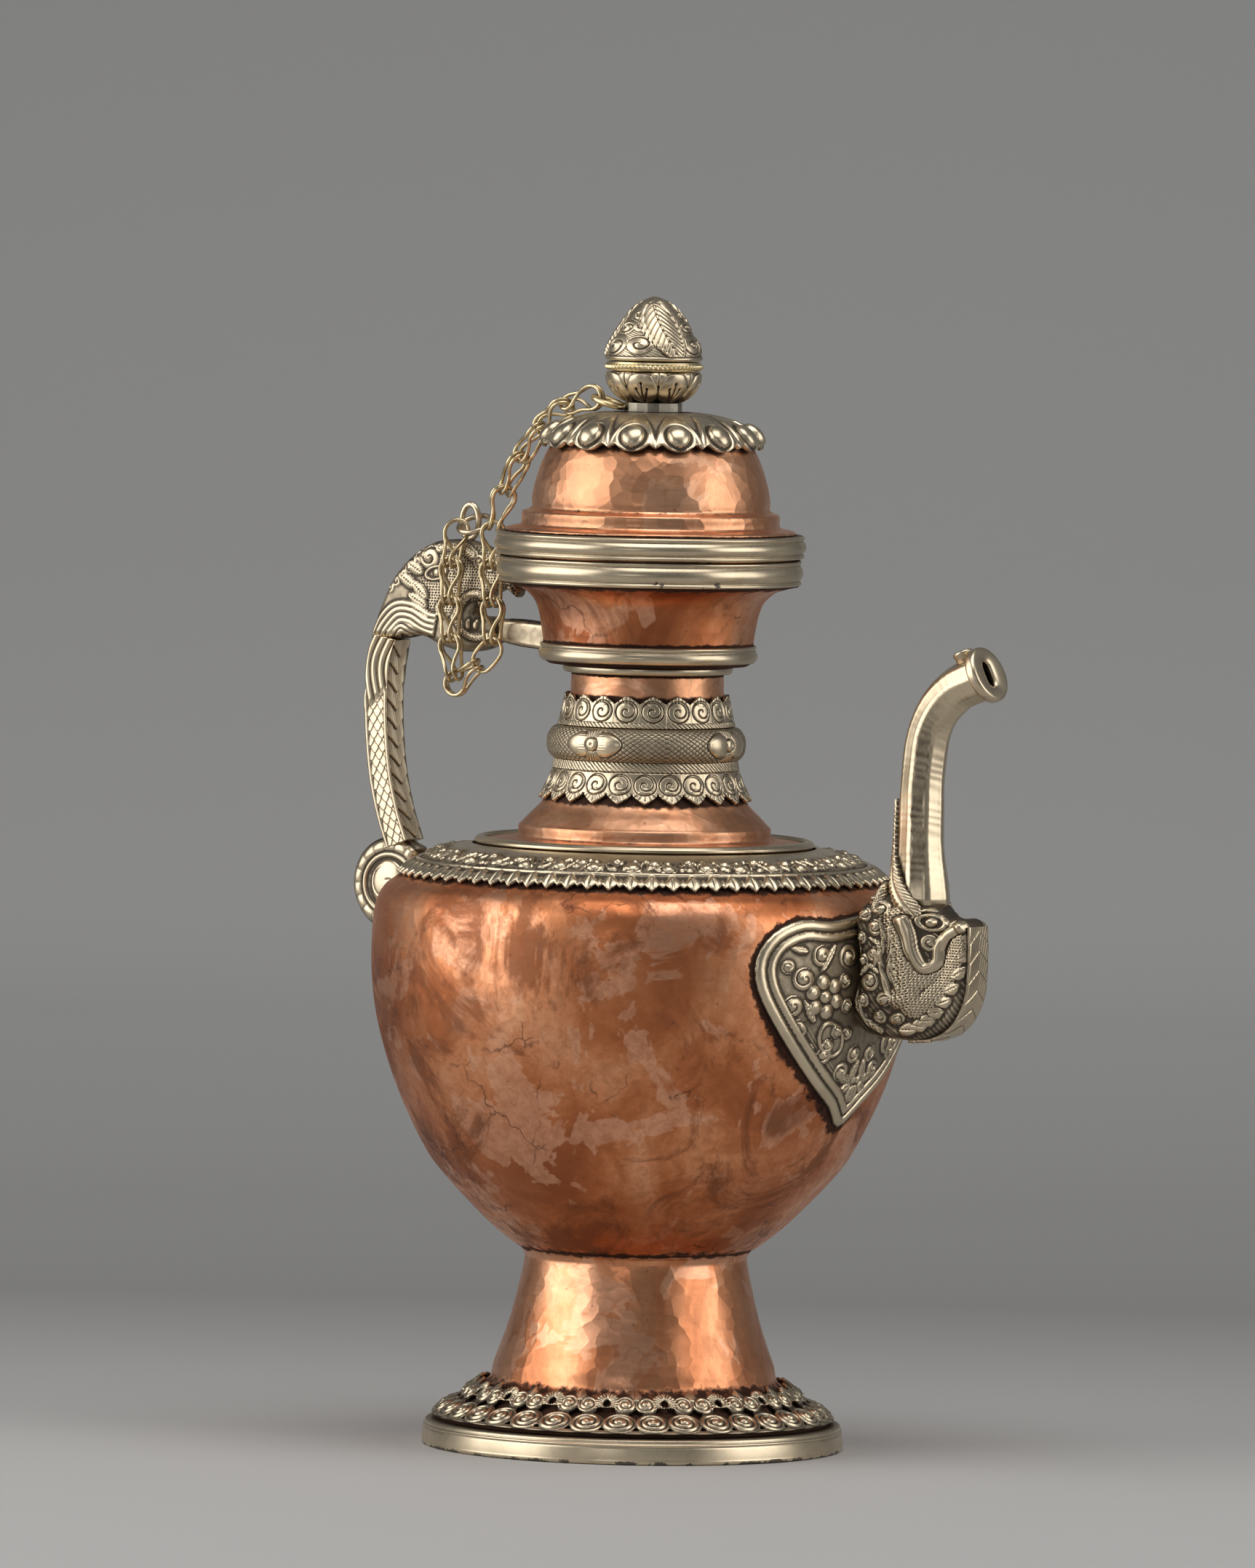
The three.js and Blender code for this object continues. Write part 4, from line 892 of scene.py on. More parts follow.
def knop_motif(turns, across, radius):
    """Heights of the knop: a cut net, and four buttons between oval petals."""
    quarter = turns / (math.pi / 2)
    along = (quarter - np.round(quarter)) * math.pi / 2 * 35.5
    middle = across - 10.6
    net = np.maximum(
        stripes(along + middle * 1.35, 2.5, 0.525), stripes(along - middle * 1.35, 2.5, 0.525))
    height = -0.32 * net * (np.abs(middle) < 8.6)
    for side in (-1, 1):
        beyond = along - side * 6.2
        off = np.hypot(beyond / 5.2, middle / (4.6 - 0.25 * side * beyond))
        petal_height = 0.75 * dome(off, 1) - 0.10 * stripes(middle, 0.9, 0.3) * (side * along < 5.5)
        height = np.where(off < 1.0, petal_height, height)
        height = np.where(np.abs(off - 1.06) < 0.06, -0.34, height)
    far = np.hypot(along, middle)
    fan = (np.abs(along) < 0.55 * np.abs(middle) + 0.4) & (np.abs(middle) < 6.4)
    rays = 0.12 - 0.3 * stripes(5 * along / (np.abs(middle) + 0.5), 1, 0.42)
    height = np.where(fan, rays, height)
    button = 0.2 + 0.75 * dome(far, 2.4) - 0.7 * np.exp(-(far / 0.45) ** 2)
    height = np.where(far < 2.3, button, height)
    height = np.where((far > 2.3) & (far < 2.75), -0.3, height)
    return np.where(radius > 31.0, height * np.clip((radius - 31.9) / 0.8, 0, 1) - 0.2, 0.0)


knop_section = np.vstack([
    [[29.8, 246.1]],
    spline([
        [32.2, 246.0], [33.6, 246.4], [35.2, 248.4], [35.8, 251.6], [35.4, 254.6], [33.8, 257.2],
        [32.0, 258.2],
    ], 14),
    [[29.8, 258.2]], np.array([[29.8, 254], [29.8, 250]]),
])
knop_piece = worked_torus("neck_knop_look", knop_section, 1100, knop_motif)
finish_piece(knop_piece, pale_metal, "vessel", "pale_metal", "neck_knop")

under_ring_section = np.vstack([
    [[24.6, 277.0], [29.4, 277.05]], raised([29.8, 277.2], [30.4, 279.6], 0.35, 8),
    [[24.6, 279.95]]])
under_ring_piece = turned_ring("cup_under_ring_look", under_ring_section, 180, {
    "relief": np.interp(under_ring_section[:, 1], [277, 277.6, 279.4, 280], [0.2, 0.9, 0.9, 0.3]),
    "worn": np.full(len(under_ring_section), 0.2),
})
finish_piece(under_ring_piece, pale_metal, "vessel", "pale_metal", "cup_under_ring")

# Mouth
# The copper cup flares to a wide lip. Rolled pale metal bands stiffen its base and
# rim; the rim band has a bead, a broad convex face and a second bead.
cup_outer = np.vstack([[[35.4, 280.0]], spline([
    [37.0, 281.0], [37.3, 284], [37.6, 288], [38.3, 293], [39.4, 298.6], [41.4, 303], [45.2, 306.4],
    [50, 308], [53.4, 308.8],
], 9)])
cup_inner = np.array([
    [52.9, 309.0], [50.6, 309.0], [44.2, 307.4], [40.2, 303.6], [38.2, 299], [36.9, 292],
    [36, 284.4], [34.6, 281.4], [24.8, 281.3], [24.8, 280],
])
cup_section = np.vstack([cup_outer, cup_inner])
cup_seam = np.interp(
    cup_section[:, 1], [280, 287.6, 289.4, 304, 307, 309], [0.9, 0.85, 0.05, 0.0, 0.35, 0.95])
cup_piece = turned_ring("mouth_cup_look", cup_section, 240, {"seam": cup_seam})
finish_piece(
    cup_piece, copper_material("cup_copper", 190, 0.6, 0.8), "vessel", "copper_sheet", "mouth_cup")

cup_band_section = np.vstack([
    [[37.8, 281.6]], raised([38.0, 281.2], [38.3, 285.6], 1.05, 12),
    raised([38.3, 285.9], [38.0, 287.4], 0.55, 8),
    [[37.8, 287.2]]])
cup_band_piece = turned_ring("cup_base_band_look", cup_band_section, 220, {
    "relief": np.interp(
        cup_band_section[:, 1], [281.1, 281.9, 285.3, 285.75, 286.2, 287.4],
        [0.2, 1, 1, 0.05, 1, 0.4],
    ),
    "worn": np.full(len(cup_band_section), 0.12),
})
finish_piece(cup_band_piece, pale_metal, "vessel", "pale_metal", "cup_base_band")


def rim_band(base, top, inner, outer):
    """Section and recess marks of a rim band: bead, broad convex face, bead."""
    height = top - base
    section = np.vstack([
        [[inner, base + 0.02]],
        raised([outer - 1.5, base + 0.05], [outer - 1.2, base + 1.7], 0.75, 9),
        raised([outer - 1.15, base + 1.95], [outer - 1.15, base + height - 2.0], 1.1, 16),
        raised([outer - 1.2, base + height - 1.75], [outer - 1.6, base + height - 0.05], 0.75, 9),
        [[inner, base + height - 0.02]],
    ])
    relief = np.interp(section[:, 1] - base, [
        0, 0.4, 1.5, 1.82, 2.2, height - 2.2, height - 1.88, height - 1.5, height - 0.4, height,
    ], [0.15, 0.95, 0.9, 0.0, 1, 1, 0.0, 0.9, 0.9, 0.1])
    return section, relief


mouth_band_section, mouth_band_relief = rim_band(309.02, 318.3, 51.6, 54.9)
mouth_band_piece = turned_ring("mouth_rim_band_look", mouth_band_section, 260, {
    "relief": mouth_band_relief,
    "worn": np.interp(mouth_band_section[:, 1], [309, 311.4, 313, 318.3], [0.36, 0.30, 0.02, 0.12]),
})
finish_piece(mouth_band_piece, pale_metal, "vessel", "pale_metal", "mouth_rim_band")

# Lid
# A hammered copper dome stands on a step above its own rim band, with a plain
# spigot below that enters the mouth. Raised petals are laid round its crown.
lid_band_section, lid_band_relief = rim_band(318.7, 327.0, 51.1, 55.8)
lid_band_piece = turned_ring("lid_rim_band_look", lid_band_section, 260, {
    "relief": lid_band_relief,
    "worn": np.interp(lid_band_section[:, 1], [318.7, 320.4, 322, 327], [0.34, 0.22, 0.0, 0.05]),
})
finish_piece(lid_band_piece, pale_metal, "lid", "pale_metal", "lid_rim_band")

dome_outer = np.vstack([
    [[51.9, 327.05], [51.9, 327.8]], spline([[51.4, 328.2], [49, 328.9], [46.8, 329.2]], 5),
    spline([
        [46.2, 329.8], [46.0, 331.0], [46.1, 333.2], [45.6, 334.2], [44.0, 334.7], [42.9, 335.2],
    ], 5),
    spline([
        [42.4, 336.0], [42.5, 339.0], [41.6, 344], [39.8, 350], [37.2, 356], [33.4, 361.4],
        [28, 365.6], [20, 368.8], [11, 370.1], [4.4, 370.2],
    ], 9),
])
dome_inner = np.array([
    [4.4, 369], [11, 368.9], [19.6, 367.6], [27.2, 364.4], [32.4, 360.4], [36, 355.4],
    [38.5, 349.6], [40.3, 343.6], [41.1, 338], [41.1, 334.4], [44.6, 333], [44.6, 328.2],
    [50.6, 327.05],
])
dome_section = np.vstack([dome_outer, dome_inner])
dome_seam = np.interp(
    dome_section[:, 1], [327, 327.6, 328.4, 329.3, 330, 334.6, 335.6, 336.4, 355, 359],
    [0.8, 0.35, 0.1, 0.45, 0.0, 0.3, 0.62, 0.0, 0.0, 0.9],
)
dome_piece = turned_ring("lid_dome_look", dome_section, 260, {"seam": dome_seam})
finish_piece(
    dome_piece, copper_material("lid_copper", 215, 0.85, 0.45, 0.36), "lid", "copper_sheet",
    "lid_dome")

spigot_section = np.array([[49.7, 310.9], [51.0, 310.8], [51.0, 326.9], [49.7, 326.9]])
spigot_piece = turned_ring("lid_spigot_look", spigot_section, 180, {"seam": [0.2, 0.2, 0.6, 0.6]})
finish_piece(
    spigot_piece, copper_material("spigot_copper", 120, 0.4, 0.7), "lid", "copper_sheet",
    "lid_spigot")


PETAL_HALF_PITCH = 8.7


def petal_metal(along, across):
    """How far a place lies inside the lid collar's petal outline."""
    fold = PETAL_HALF_PITCH - np.abs(along)
    round_tip = across - 1.5 - 0.085 * np.abs(along) ** 2.2
    point = across - 0.9 - 0.75 * np.abs(fold)
    return np.maximum(round_tip, point)


def petal_motif(along, across):
    """Heights of the lid's petals, each with an oval boss, and points between."""
    share = np.clip((across - 1.5) / 21, 0, 1)
    width = 6.9 * (1 - share) ** 0.62 + 0.9
    off = np.abs(along) / width
    crown = 1.5 * np.clip(1.38 - 1.35 * share, 0, 1) * np.clip((across - 1.2) / 1.4, 0, 1) ** 0.5
    petal = 0.35 + crown * dome(off, 1)
    rim = 0.35 * groove(np.abs(off - 0.86), 0.22) * (across < 16)
    oval = np.hypot(along / 3.3, (across - 7.2) / (4.4 + 0.5 * (across > 7.2)))
    boss = 1.7 * dome(oval, 1)
    ditch = 0.9 * np.exp(-((oval - 1.12) / 0.16) ** 2)
    height = petal + rim + boss - ditch
    fold = PETAL_HALF_PITCH - np.abs(along)
    point = 0.3 + 1.3 * dome(fold, 2.9) * np.clip((6.4 - across) / 3, 0, 1)
    point -= 0.3 * groove(np.abs(fold), 0.5) * (across < 5)
    height = np.where(off > 0.99, np.maximum(point, 0.3), height)
    return height - 0.2 * np.clip((across - 16) / 6, 0, 1)


petal_piece = worked_ring(
    "lid_petal_collar_look",
    [[38.9, 355.6], [37.6, 359.4], [34.4, 363.2], [29.4, 366.4], [22, 369.2], [14, 370.0]],
    14, 840, 76, petal_motif, petal_metal, 0.16, 11)
finish_piece(petal_piece, pale_metal, "lid", "pale_metal", "lid_petal_collar")

# Finial
# A lotus bud on a lotus base, raised in two halves with a gilt rope line between,
# riveted through the lid's crown by a pin.


def even_places(path, count):
    """Distances run at even steps along a path, and the place at each of them."""
    lengths = run_along(path)
    run = np.linspace(0, lengths[-1], count)
    return run, np.interp(run, lengths, path[:, 0]), np.interp(run, lengths, path[:, 1])


def cap_faces(rows, columns):
    """Faces from a grid's first and last ring to the two points that follow the grid."""
    ring = np.arange(columns)
    beside = (ring + 1) % columns
    last = (rows - 1) * columns
    low, high = (np.full(columns, rows * columns + number) for number in (0, 1))
    return np.vstack([
        np.stack([low, beside, ring], 1), np.stack([high, last + ring, last + beside], 1)])


def worked_bud(name, section, repeats, columns, rows, motif, start=0.0):
    """A solid turned piece, its section running up from the axis or an edge, worked by a motif."""
    up, run, rise = even_places(spline(section, 12), rows)
    out_r, out_z = slope_out(run, rise)
    turns = turn_steps(columns)
    place = (turns - start) / math.tau * repeats
    part, across = np.meshgrid(place - np.round(place), up)
    height = motif(part, across)
    radii = np.maximum(run[:, None] + out_r[:, None] * height, 0.02)
    places = spun(radii, rise[:, None] + out_z[:, None] * height, turns + 0 * height)
    relief = brightness(height, soften_round(height), 0.66, 3.2, height.mean(), 0.25)
    ends = [[AXIS_MM, 0, rise[0]], [AXIS_MM, 0, places[-1, :, 2].mean()]]
    return put_mesh(
        name, np.vstack([places.reshape(-1, 3), ends]),
        [grid_faces(rows, columns, wrap_columns=True), cap_faces(rows, columns)],
        {"relief": np.concatenate([relief.ravel(), [0.5, 0.5]])})


def lotus_motif(part, across):
    """Heights of the lotus base: eight petals with grooves that end in drilled dots."""
    rounded = np.sin(math.pi * np.clip(across / 17.5, 0.05, 1) ** 0.75)
    width = 0.47 * np.clip(rounded, 0, 1) ** 0.6 + 0.02
    off = np.abs(part) / width
    inside = (off < 1) & (across < 15.2 - 10 * part ** 2)
    petal = 0.35 + 0.85 * np.sqrt(np.clip(1 - off ** 2.4, 0, 1))
    for centre, stop in ((-0.16, 9.4), (0.0, 11.6), (0.16, 9.4)):
        line = np.abs(part - centre * np.clip(across / 9, 0.25, 1)) * 13
        petal -= 0.55 * groove(line, 1.1) * (across < stop) * (across > 1.5)
        petal -= 0.9 * np.exp(-((part - centre) * 13 / 0.5) ** 2 - ((across - stop) / 0.5) ** 2)
    behind = 0.15 + 0.55 * dome(np.hypot((0.5 - np.abs(part)) * 13, (across - 13.8) * 0.9), 3.2)
    behind -= 0.25 * groove((0.5 - np.abs(part)) * 13, 0.7)
    return np.where(inside, petal, behind) - 0.9


lotus_piece = worked_bud(
    "finial_lotus_look",
    [[8.2, 373.5], [11.4, 374.4], [14.6, 377.0], [16.7, 380.4], [17.3, 383.2], [16.9, 384.55]],
    8, 720, 110, lotus_motif, 0.3)
finish_piece(lotus_piece, pale_metal, "lid", "pale_metal", "finial_lotus")

gilt, gilt_tree, gilt_place = new_material("worn_gilding")
gilt_tone = colour_steps(gilt_tree, noise(gilt_tree, gilt_place, 120, 4), [
    (0.35, (0.66, 0.55, 0.36)), (0.55, (0.78, 0.62, 0.34)), (0.7, (0.70, 0.66, 0.54)),
])
gilt_dark = colour_steps(gilt_tree, marked(gilt_tree, "relief"), [(0.1, 1.0), (0.5, 0.0)])
gilt_rough = summed(gilt_tree, 0.2, (noise(gilt_tree, gilt_place, 900), 0.2))
show(gilt_tree, surface(
    gilt_tree, blended(gilt_tree, gilt_dark, gilt_tone, (0.06, 0.045, 0.03)), gilt_rough,
    noise(gilt_tree, gilt_place, 700), 0.0001, 0.4))


def rope_motif(part, across):
    """Heights of the twisted line round the middle of the bud, between two fillets."""
    strand = np.cos(math.tau * (part + across * 0.28))
    band = (across > 0.8) & (across < 2.9)
    hump = dome((across - 1.85), 1.1)
    return np.where(band, -0.7 + 0.65 * hump + 0.22 * strand * hump, -0.35 + 0.0 * across)


rope_piece = worked_bud(
    "finial_cord_band_look", [[16.9, 384.62], [17.4, 385.4], [17.5, 386.8], [17.0, 388.15]],
    64, 960, 34, rope_motif)
finish_piece(rope_piece, gilt, "lid", "gilt_metal", "finial_cord_band")


def bud_motif(part, across):
    """Heights of the bud: an oblique flame leaf and pairs of scrolls round it."""
    size = np.clip(1 - across / 34, 0.08, 1)
    along = part * 27 * size
    height = 0.15 + 0.0 * along
    for side, up, radius in (
        (-1, 6.2, 4.0), (1, 6.6, 3.7), (-0.7, 13.6, 2.7), (0.8, 14.4, 2.5), (0.1, 19.2, 2.0)):
        far, turned = disc_place(along, across, side * 4.4 * size + 0.6, up)
        hand = 1 if side > 0 else -1
        scroll = 0.55 * dome(far, radius) + 0.45 * np.exp(-(far / (radius * 0.22)) ** 2)
        scroll -= 0.5 * groove(curl_line(far, turned, radius, 1.6, hand), 0.75) * (far < radius)
        height = np.maximum(height, np.where(far < radius, scroll + 0.2, -9))
    bend = 0.5 - np.abs(part + 0.012 * (across - 10))
    leaf_off = np.abs(bend) * 27 * size
    half = 4.6 * np.sin(math.pi * np.clip(across / 25, 0.02, 0.98)) ** 0.6 + 0.3
    flame = 0.9 * dome(leaf_off, half)
    flame -= 0.28 * stripes(leaf_off + across * 0.55, 1.25, 0.5)
    flame -= 0.35 * groove(leaf_off, 0.8)
    flame += 0.35 * groove(np.abs(leaf_off - half * 0.8), 0.9)
    height = np.where(leaf_off < half, np.maximum(flame + 0.25, 0.2), height)
    hatch = 0.12 * stripes(along * 0.5 + across, 0.8, 0.35)
    height = height - hatch * (height < 0.2)
    rim = across < 2.0
    height = np.where(rim, 0.55 * dome((across - 1.0), 1.0), height)
    return (height - 0.55) * np.clip((26.5 - across) / 3, 0.0, 1)


bud_piece = worked_bud("finial_bud_look", [
    [16.9, 388.25], [17.5, 389.4], [17.3, 391], [16.6, 393.6], [15.2, 396.2], [13.7, 398.8],
    [12, 401.4], [10.2, 404], [7.9, 406.8], [4.6, 409.6], [1.6, 411.0], [0.2, 411.25],
], 3, 840, 170, bud_motif, 0.35)
finish_piece(bud_piece, pale_metal, "lid", "pale_metal", "finial_bud")

# Handle
# A beast's head bites a plain tongue that is soldered to the cup. Its mane sweeps
# down a bar grip with scaled sides, which ends on a beaded scroll on the body.


def nearest_on(along, across, line):
    """Distance from a smooth line, and how far along it the nearest place lies."""
    path = spline(line, 10)
    lengths = run_along(path)
    gap = np.hypot(along[..., None] - path[:, 0], across[..., None] - path[:, 1])
    nearest = gap.argmin(-1)
    return gap.min(-1), lengths[nearest], lengths[-1]


def strand(along, across, line, width, rise, strokes=0.0, even=False):
    """Height of a half-round ridge along a smooth line, thin at its ends, with cut strokes."""
    far, run, whole = nearest_on(along, across, line)
    share = np.clip(run / whole, 0.03, 0.97)
    half = width / 2 * (1 if even else 0.3 + 0.7 * np.sin(math.pi * share) ** 0.5)
    body = rise * dome(far, half)
    if strokes:
        cut = stripes(run + far * 0.7, strokes, strokes * 0.55)
        body = body - 0.35 * rise * cut * (far < half * 0.9)
    return body


def ribbon(along, across, line, width, rise, count):
    """Height of parallel strands that run side by side along a smooth line."""
    path = spline(line, 10)
    step = np.gradient(path, axis=0)
    gap = np.hypot(along[..., None] - path[:, 0], across[..., None] - path[:, 1])
    nearest = gap.argmin(-1)
    away_u, away_z = along - path[nearest, 0], across - path[nearest, 1]
    run_u, run_z = step[nearest, 0], step[nearest, 1]
    off = (away_z * run_u - away_u * run_z) / np.hypot(run_u, run_z)
    place = (off / width + 0.5) * count
    body = rise * (0.55 + 0.45 * np.abs(np.sin(math.pi * place)) ** 0.7)
    ends = (nearest > 0) & (nearest < len(path) - 1)
    return np.where((np.abs(off) < width / 2) & ends & (gap.min(-1) < width / 2 + 0.2), body, 0)


def curl(along, across, centre, radius, hand, rise=1.0):
    """Height of a domed spiral with a ball at its middle."""
    far, turned = disc_place(along, across, *centre)
    body = 0.3 + 0.5 * dome(far, radius) + 0.55 * np.exp(-(far / (radius * 0.3)) ** 2)
    body -= 0.5 * groove(curl_line(far, turned, radius, 1.5, hand), radius * 0.2)
    return np.where(far < radius, rise * body, 0)


def petal(along, across, root, tip, width, rise, strokes=0.0):
    """Height of a pointed leaf from its root to its tip, with cut strokes across it."""
    root, tip = np.array(root, dtype=float), np.array(tip, dtype=float)
    run = tip - root
    whole = np.hypot(*run)
    share = ((along - root[0]) * run[0] + (across - root[1]) * run[1]) / whole ** 2
    off = ((along - root[0]) * -run[1] + (across - root[1]) * run[0]) / whole
    half = width / 2 * np.sin(math.pi * np.clip(share, 0.0, 1.0) ** 0.8) ** 0.7 + 0.001
    inside = (share > 0) & (share < 1) & (np.abs(off) < half)
    body = rise * (0.35 + 0.65 * dome(off, half))
    body -= 0.3 * rise * groove(np.abs(off), 0.5)
    if strokes:
        body -= 0.22 * rise * stripes(share * whole + np.abs(off), strokes, strokes * 0.5)
    return np.where(inside, body, 0)


def piled(height, work, along, across, rows, *common):
    """The height raised to that of one kind of work at each of several places."""
    return np.maximum.reduce([height] + [work(along, across, *row, *common) for row in rows])


def pits(along, across, size):
    """1 in the middle of each round punch mark of a staggered field, 0 between them."""
    row = np.round(across / (size * 0.87))
    sway = 0.18 * size * np.sin(row * 2.7 + along * 0.9)
    column = (along + sway) / size + 0.5 * (row % 2)
    off = np.hypot((column - np.round(column)) * size, across - row * size * 0.87)
    return np.exp(-(off / (size * 0.27)) ** 2)


def scales(run, off, length, width):
    """Height of overlapping pointed scales whose tips face the start of the run."""
    height = np.zeros_like(run)
    for shift in (0, 0.5):
        place = run / length + shift
        share = place - np.floor(place)
        side = off / width + shift
        side = np.abs(side - np.round(side)) * 2
        inside = side < np.clip(share * 1.9, 0, 1) ** 0.6 * 1.06
        height = np.maximum(height, np.where(inside, 1 - 0.8 * share, 0))
    return height


def worked_bar(
        name, path, section, columns, rows, motif, node, growth=None, bore=0.0, painted_shade=None):
    """A closed section carried along a path in the ewer's middle plane and worked by a motif.

    The section is given as (across, deep), deep pointing to the left of the path's run. With a bore
    the bar is a tube, its inside a round hole.
    """
    run, x, z = even_places(spline(path, 16), rows)
    out_x, out_z = slope_out(x, z)
    ring = spline(section, 10, closed=True)
    closed_ring = np.vstack([ring, ring[:1]])
    around_ring = run_along(closed_ring)
    even = np.arange(columns) / columns * around_ring[-1]
    across, deep = (np.interp(even, around_ring, values) for values in closed_ring.T)
    out_a = np.roll(deep, -1) - np.roll(deep, 1)
    out_d = np.roll(across, 1) - np.roll(across, -1)
    long = np.hypot(out_a, out_d) * np.sign((across * out_a + deep * out_d).sum())
    out_a, out_d = out_a / long, out_d / long
    runs = np.repeat(run[:, None], columns, axis=1)
    height = motif(runs, across + 0 * runs, deep + 0 * runs)
    swell = (growth(run / run[-1]) if growth else np.ones(rows))[:, None]

    def carried(wide, thick):
        """Points of the bar at the given places in its section."""
        points = np.stack(
            [x[:, None] - out_x[:, None] * thick, wide, z[:, None] - out_z[:, None] * thick], -1)
        return points.reshape(-1, 3)

    points = carried(across * swell + out_a * height, deep * swell + out_d * height)
    faces = [grid_faces(rows, columns, wrap_columns=True)]
    relief = brightness(height, soften(height), 0.72, 2.4, height.mean(), 0.3)
    # An optional function lowers the relief mark, darkening those places of the bar as painted
    # shade.
    if painted_shade:
        relief = relief - painted_shade(runs, deep)
    if bore:
        shift = rows * columns
        turns = np.arctan2(deep, across) + 0 * height
        points = np.vstack([points, carried(bore * np.cos(turns), bore * np.sin(turns))])
        ring_index = np.arange(columns)
        beside = (ring_index + 1) % columns
        last = shift - columns
        faces += [
            faces[0][:, ::-1] + shift,
            np.stack([ring_index, ring_index + shift, beside + shift, beside], 1),
            np.stack([ring_index, beside, beside + shift, ring_index + shift], 1) + last,
        ]
        inner_relief = np.full(shift, 0.1)
    else:
        points = np.vstack([points, [x[0], 0, z[0]], [x[-1], 0, z[-1]]])
        faces.append(cap_faces(rows, columns))
        inner_relief = [0.5, 0.5]
    points[:, 0] += AXIS_MM
    piece = put_mesh(
        name, points, faces, {"relief": np.concatenate([relief.ravel(), inner_relief])})
    finish_piece(piece, pale_metal, "vessel", "pale_metal", node)


def soften(height):
    """Heights blurred over a few cells each way."""
    soft = height
    for _ in range(3):
        padded = np.pad(soft, ((2, 2), (2, 2)), mode="edge")
        soft = (
            padded[:-4, 2:-2] + padded[4:, 2:-2] + padded[2:-2, :-4] + padded[2:-2, 4:] + soft
        ) / 5
    return soft


def half_round(off, width):
    """1 at the middle of a rounded ridge, 0 from half its width outward."""
    return dome(2 * off, width)


def grip_motif(run, across, deep):
    """Heights of the grip: scaled sides between ridges, plates inside and mane strands outside."""
    side = 0.6 * scales(run, deep + 0.6, 5.2, 3.4) - 0.25
    side = np.where(np.abs(deep) > 3.3, 0.7 * half_round(np.abs(np.abs(deep) - 4.2), 1.9), side)
    wave = (deep * 0.95 + 1.7 * np.sin(run / 6.0)) / 2.9
    locks = 1.1 * np.abs(np.cos(math.pi * wave)) ** 0.55 - 0.2
    mane = np.clip((run - 52 + 0.9 * deep) / 3.0, 0, 1)
    side = side * (1 - mane) + locks * mane
    plate = (run + 20 - 0.95 * np.abs(across)) / 6.9
    plate = plate - np.floor(plate)
    inner = 0.85 * (1 - plate) - 0.09 * np.cos(across * 7.5) - 0.25
    lean = 0.7 * np.sin(run / 7.0)
    outer = 0.55 * np.abs(np.cos(math.pi * (across + lean) / 2.5)) ** 0.6
    face = np.where(deep < -4.7, inner, np.where(deep > 4.9, outer, side))
    return face - 0.25


GRIP_PATH = [[103, 211.0], [107.2, 222], [110.6, 235], [112.6, 250], [113.2, 264], [112.4, 276], [
    110.4, 285.4]]
grip_section = [
    [-5.5, 0], [-5.45, -3.6], [-4.4, -5.0], [0, -5.3], [4.4, -5.0], [5.45, -3.6], [5.5, 0],
    [5.45, 3.6], [4.4, 5.0], [0, 5.3], [-4.4, 5.0], [-5.45, 3.6],
]
worked_bar(
    "handle_grip_look", [[-u, z] for u, z in GRIP_PATH], grip_section, 230, 330, grip_motif,
    "handle_grip")


def outline_gap(along, across, outline):
    """How far each place lies inside a closed outline, and the nearest place on the outline."""
    start, end = outline, np.roll(outline, -1, 0)
    step = end - start
    from_start = along[..., None] - start[:, 0], across[..., None] - start[:, 1]
    share = np.clip(
        (from_start[0] * step[:, 0] + from_start[1] * step[:, 1]) / (step ** 2).sum(1), 0, 1)
    near = start[:, 0] + share * step[:, 0], start[:, 1] + share * step[:, 1]
    gap = np.hypot(along[..., None] - near[0], across[..., None] - near[1])
    best = gap.argmin(-1)[..., None]
    straddles = (start[:, 1] > across[..., None]) != (end[:, 1] > across[..., None])
    crossing = start[:, 0] + from_start[1] / np.where(step[:, 1] == 0, 1e-9, step[:, 1]) * step[
        :, 0]
    within = (straddles & (along[..., None] < crossing)).sum(-1) % 2 == 1
    far = np.take_along_axis(gap, best, -1)[..., 0]
    near = [np.take_along_axis(value, best, -1)[..., 0] for value in near]
    return np.where(within, far, -far), near[0], near[1]


def outline_grid(outline, cell):
    """A grid over an outline, its outer places moved onto it, and which places it keeps."""
    outline = spline(outline, 3, closed=True)
    along, across = np.meshgrid(
        np.arange(outline[:, 0].min() - cell, outline[:, 0].max() + cell * 1.5, cell),
        np.arange(outline[:, 1].min() - cell, outline[:, 1].max() + cell * 1.5, cell))
    inside, near_along, near_across = outline_gap(along, across, outline)
    near = np.abs(inside) < cell * 0.72
    along, across = np.where(near, near_along, along), np.where(near, near_across, across)
    return along, across, np.where(near, 0, inside), inside > -cell * 0.72


def worked_slab(name, outline, half_width, edge, motif, cell, side, node, blunt=0.3):
    """A piece with the same work on both faces, its side outline filled by a fine grid.

    half_width and motif give the half thickness and the height of the work at a place; the faces
    round off over the edge's width down to the blunt share of their thickness.
    """
    along, across, inside, keep = outline_grid(outline, cell)
    rounding = np.sqrt(1 - (1 - np.clip(inside / edge, 0, 1)) ** 2 * (1 - blunt ** 2))
    height = motif(along, across) * np.clip(inside / 1.2, 0, 1)
    thick = half_width(along, across) * rounding + height
    faces = [np.stack([AXIS_MM + side * along, hand * thick, across], -1) for hand in (-1, 1)]
    relief = brightness(height, soften(height), 0.56, 2.6, 0.5, 0.42)
    piece = sheet_shell(name, faces[0], faces[1], keep, relief, False, 1.0)
    finish_piece(piece, pale_metal, "vessel", "pale_metal", node)


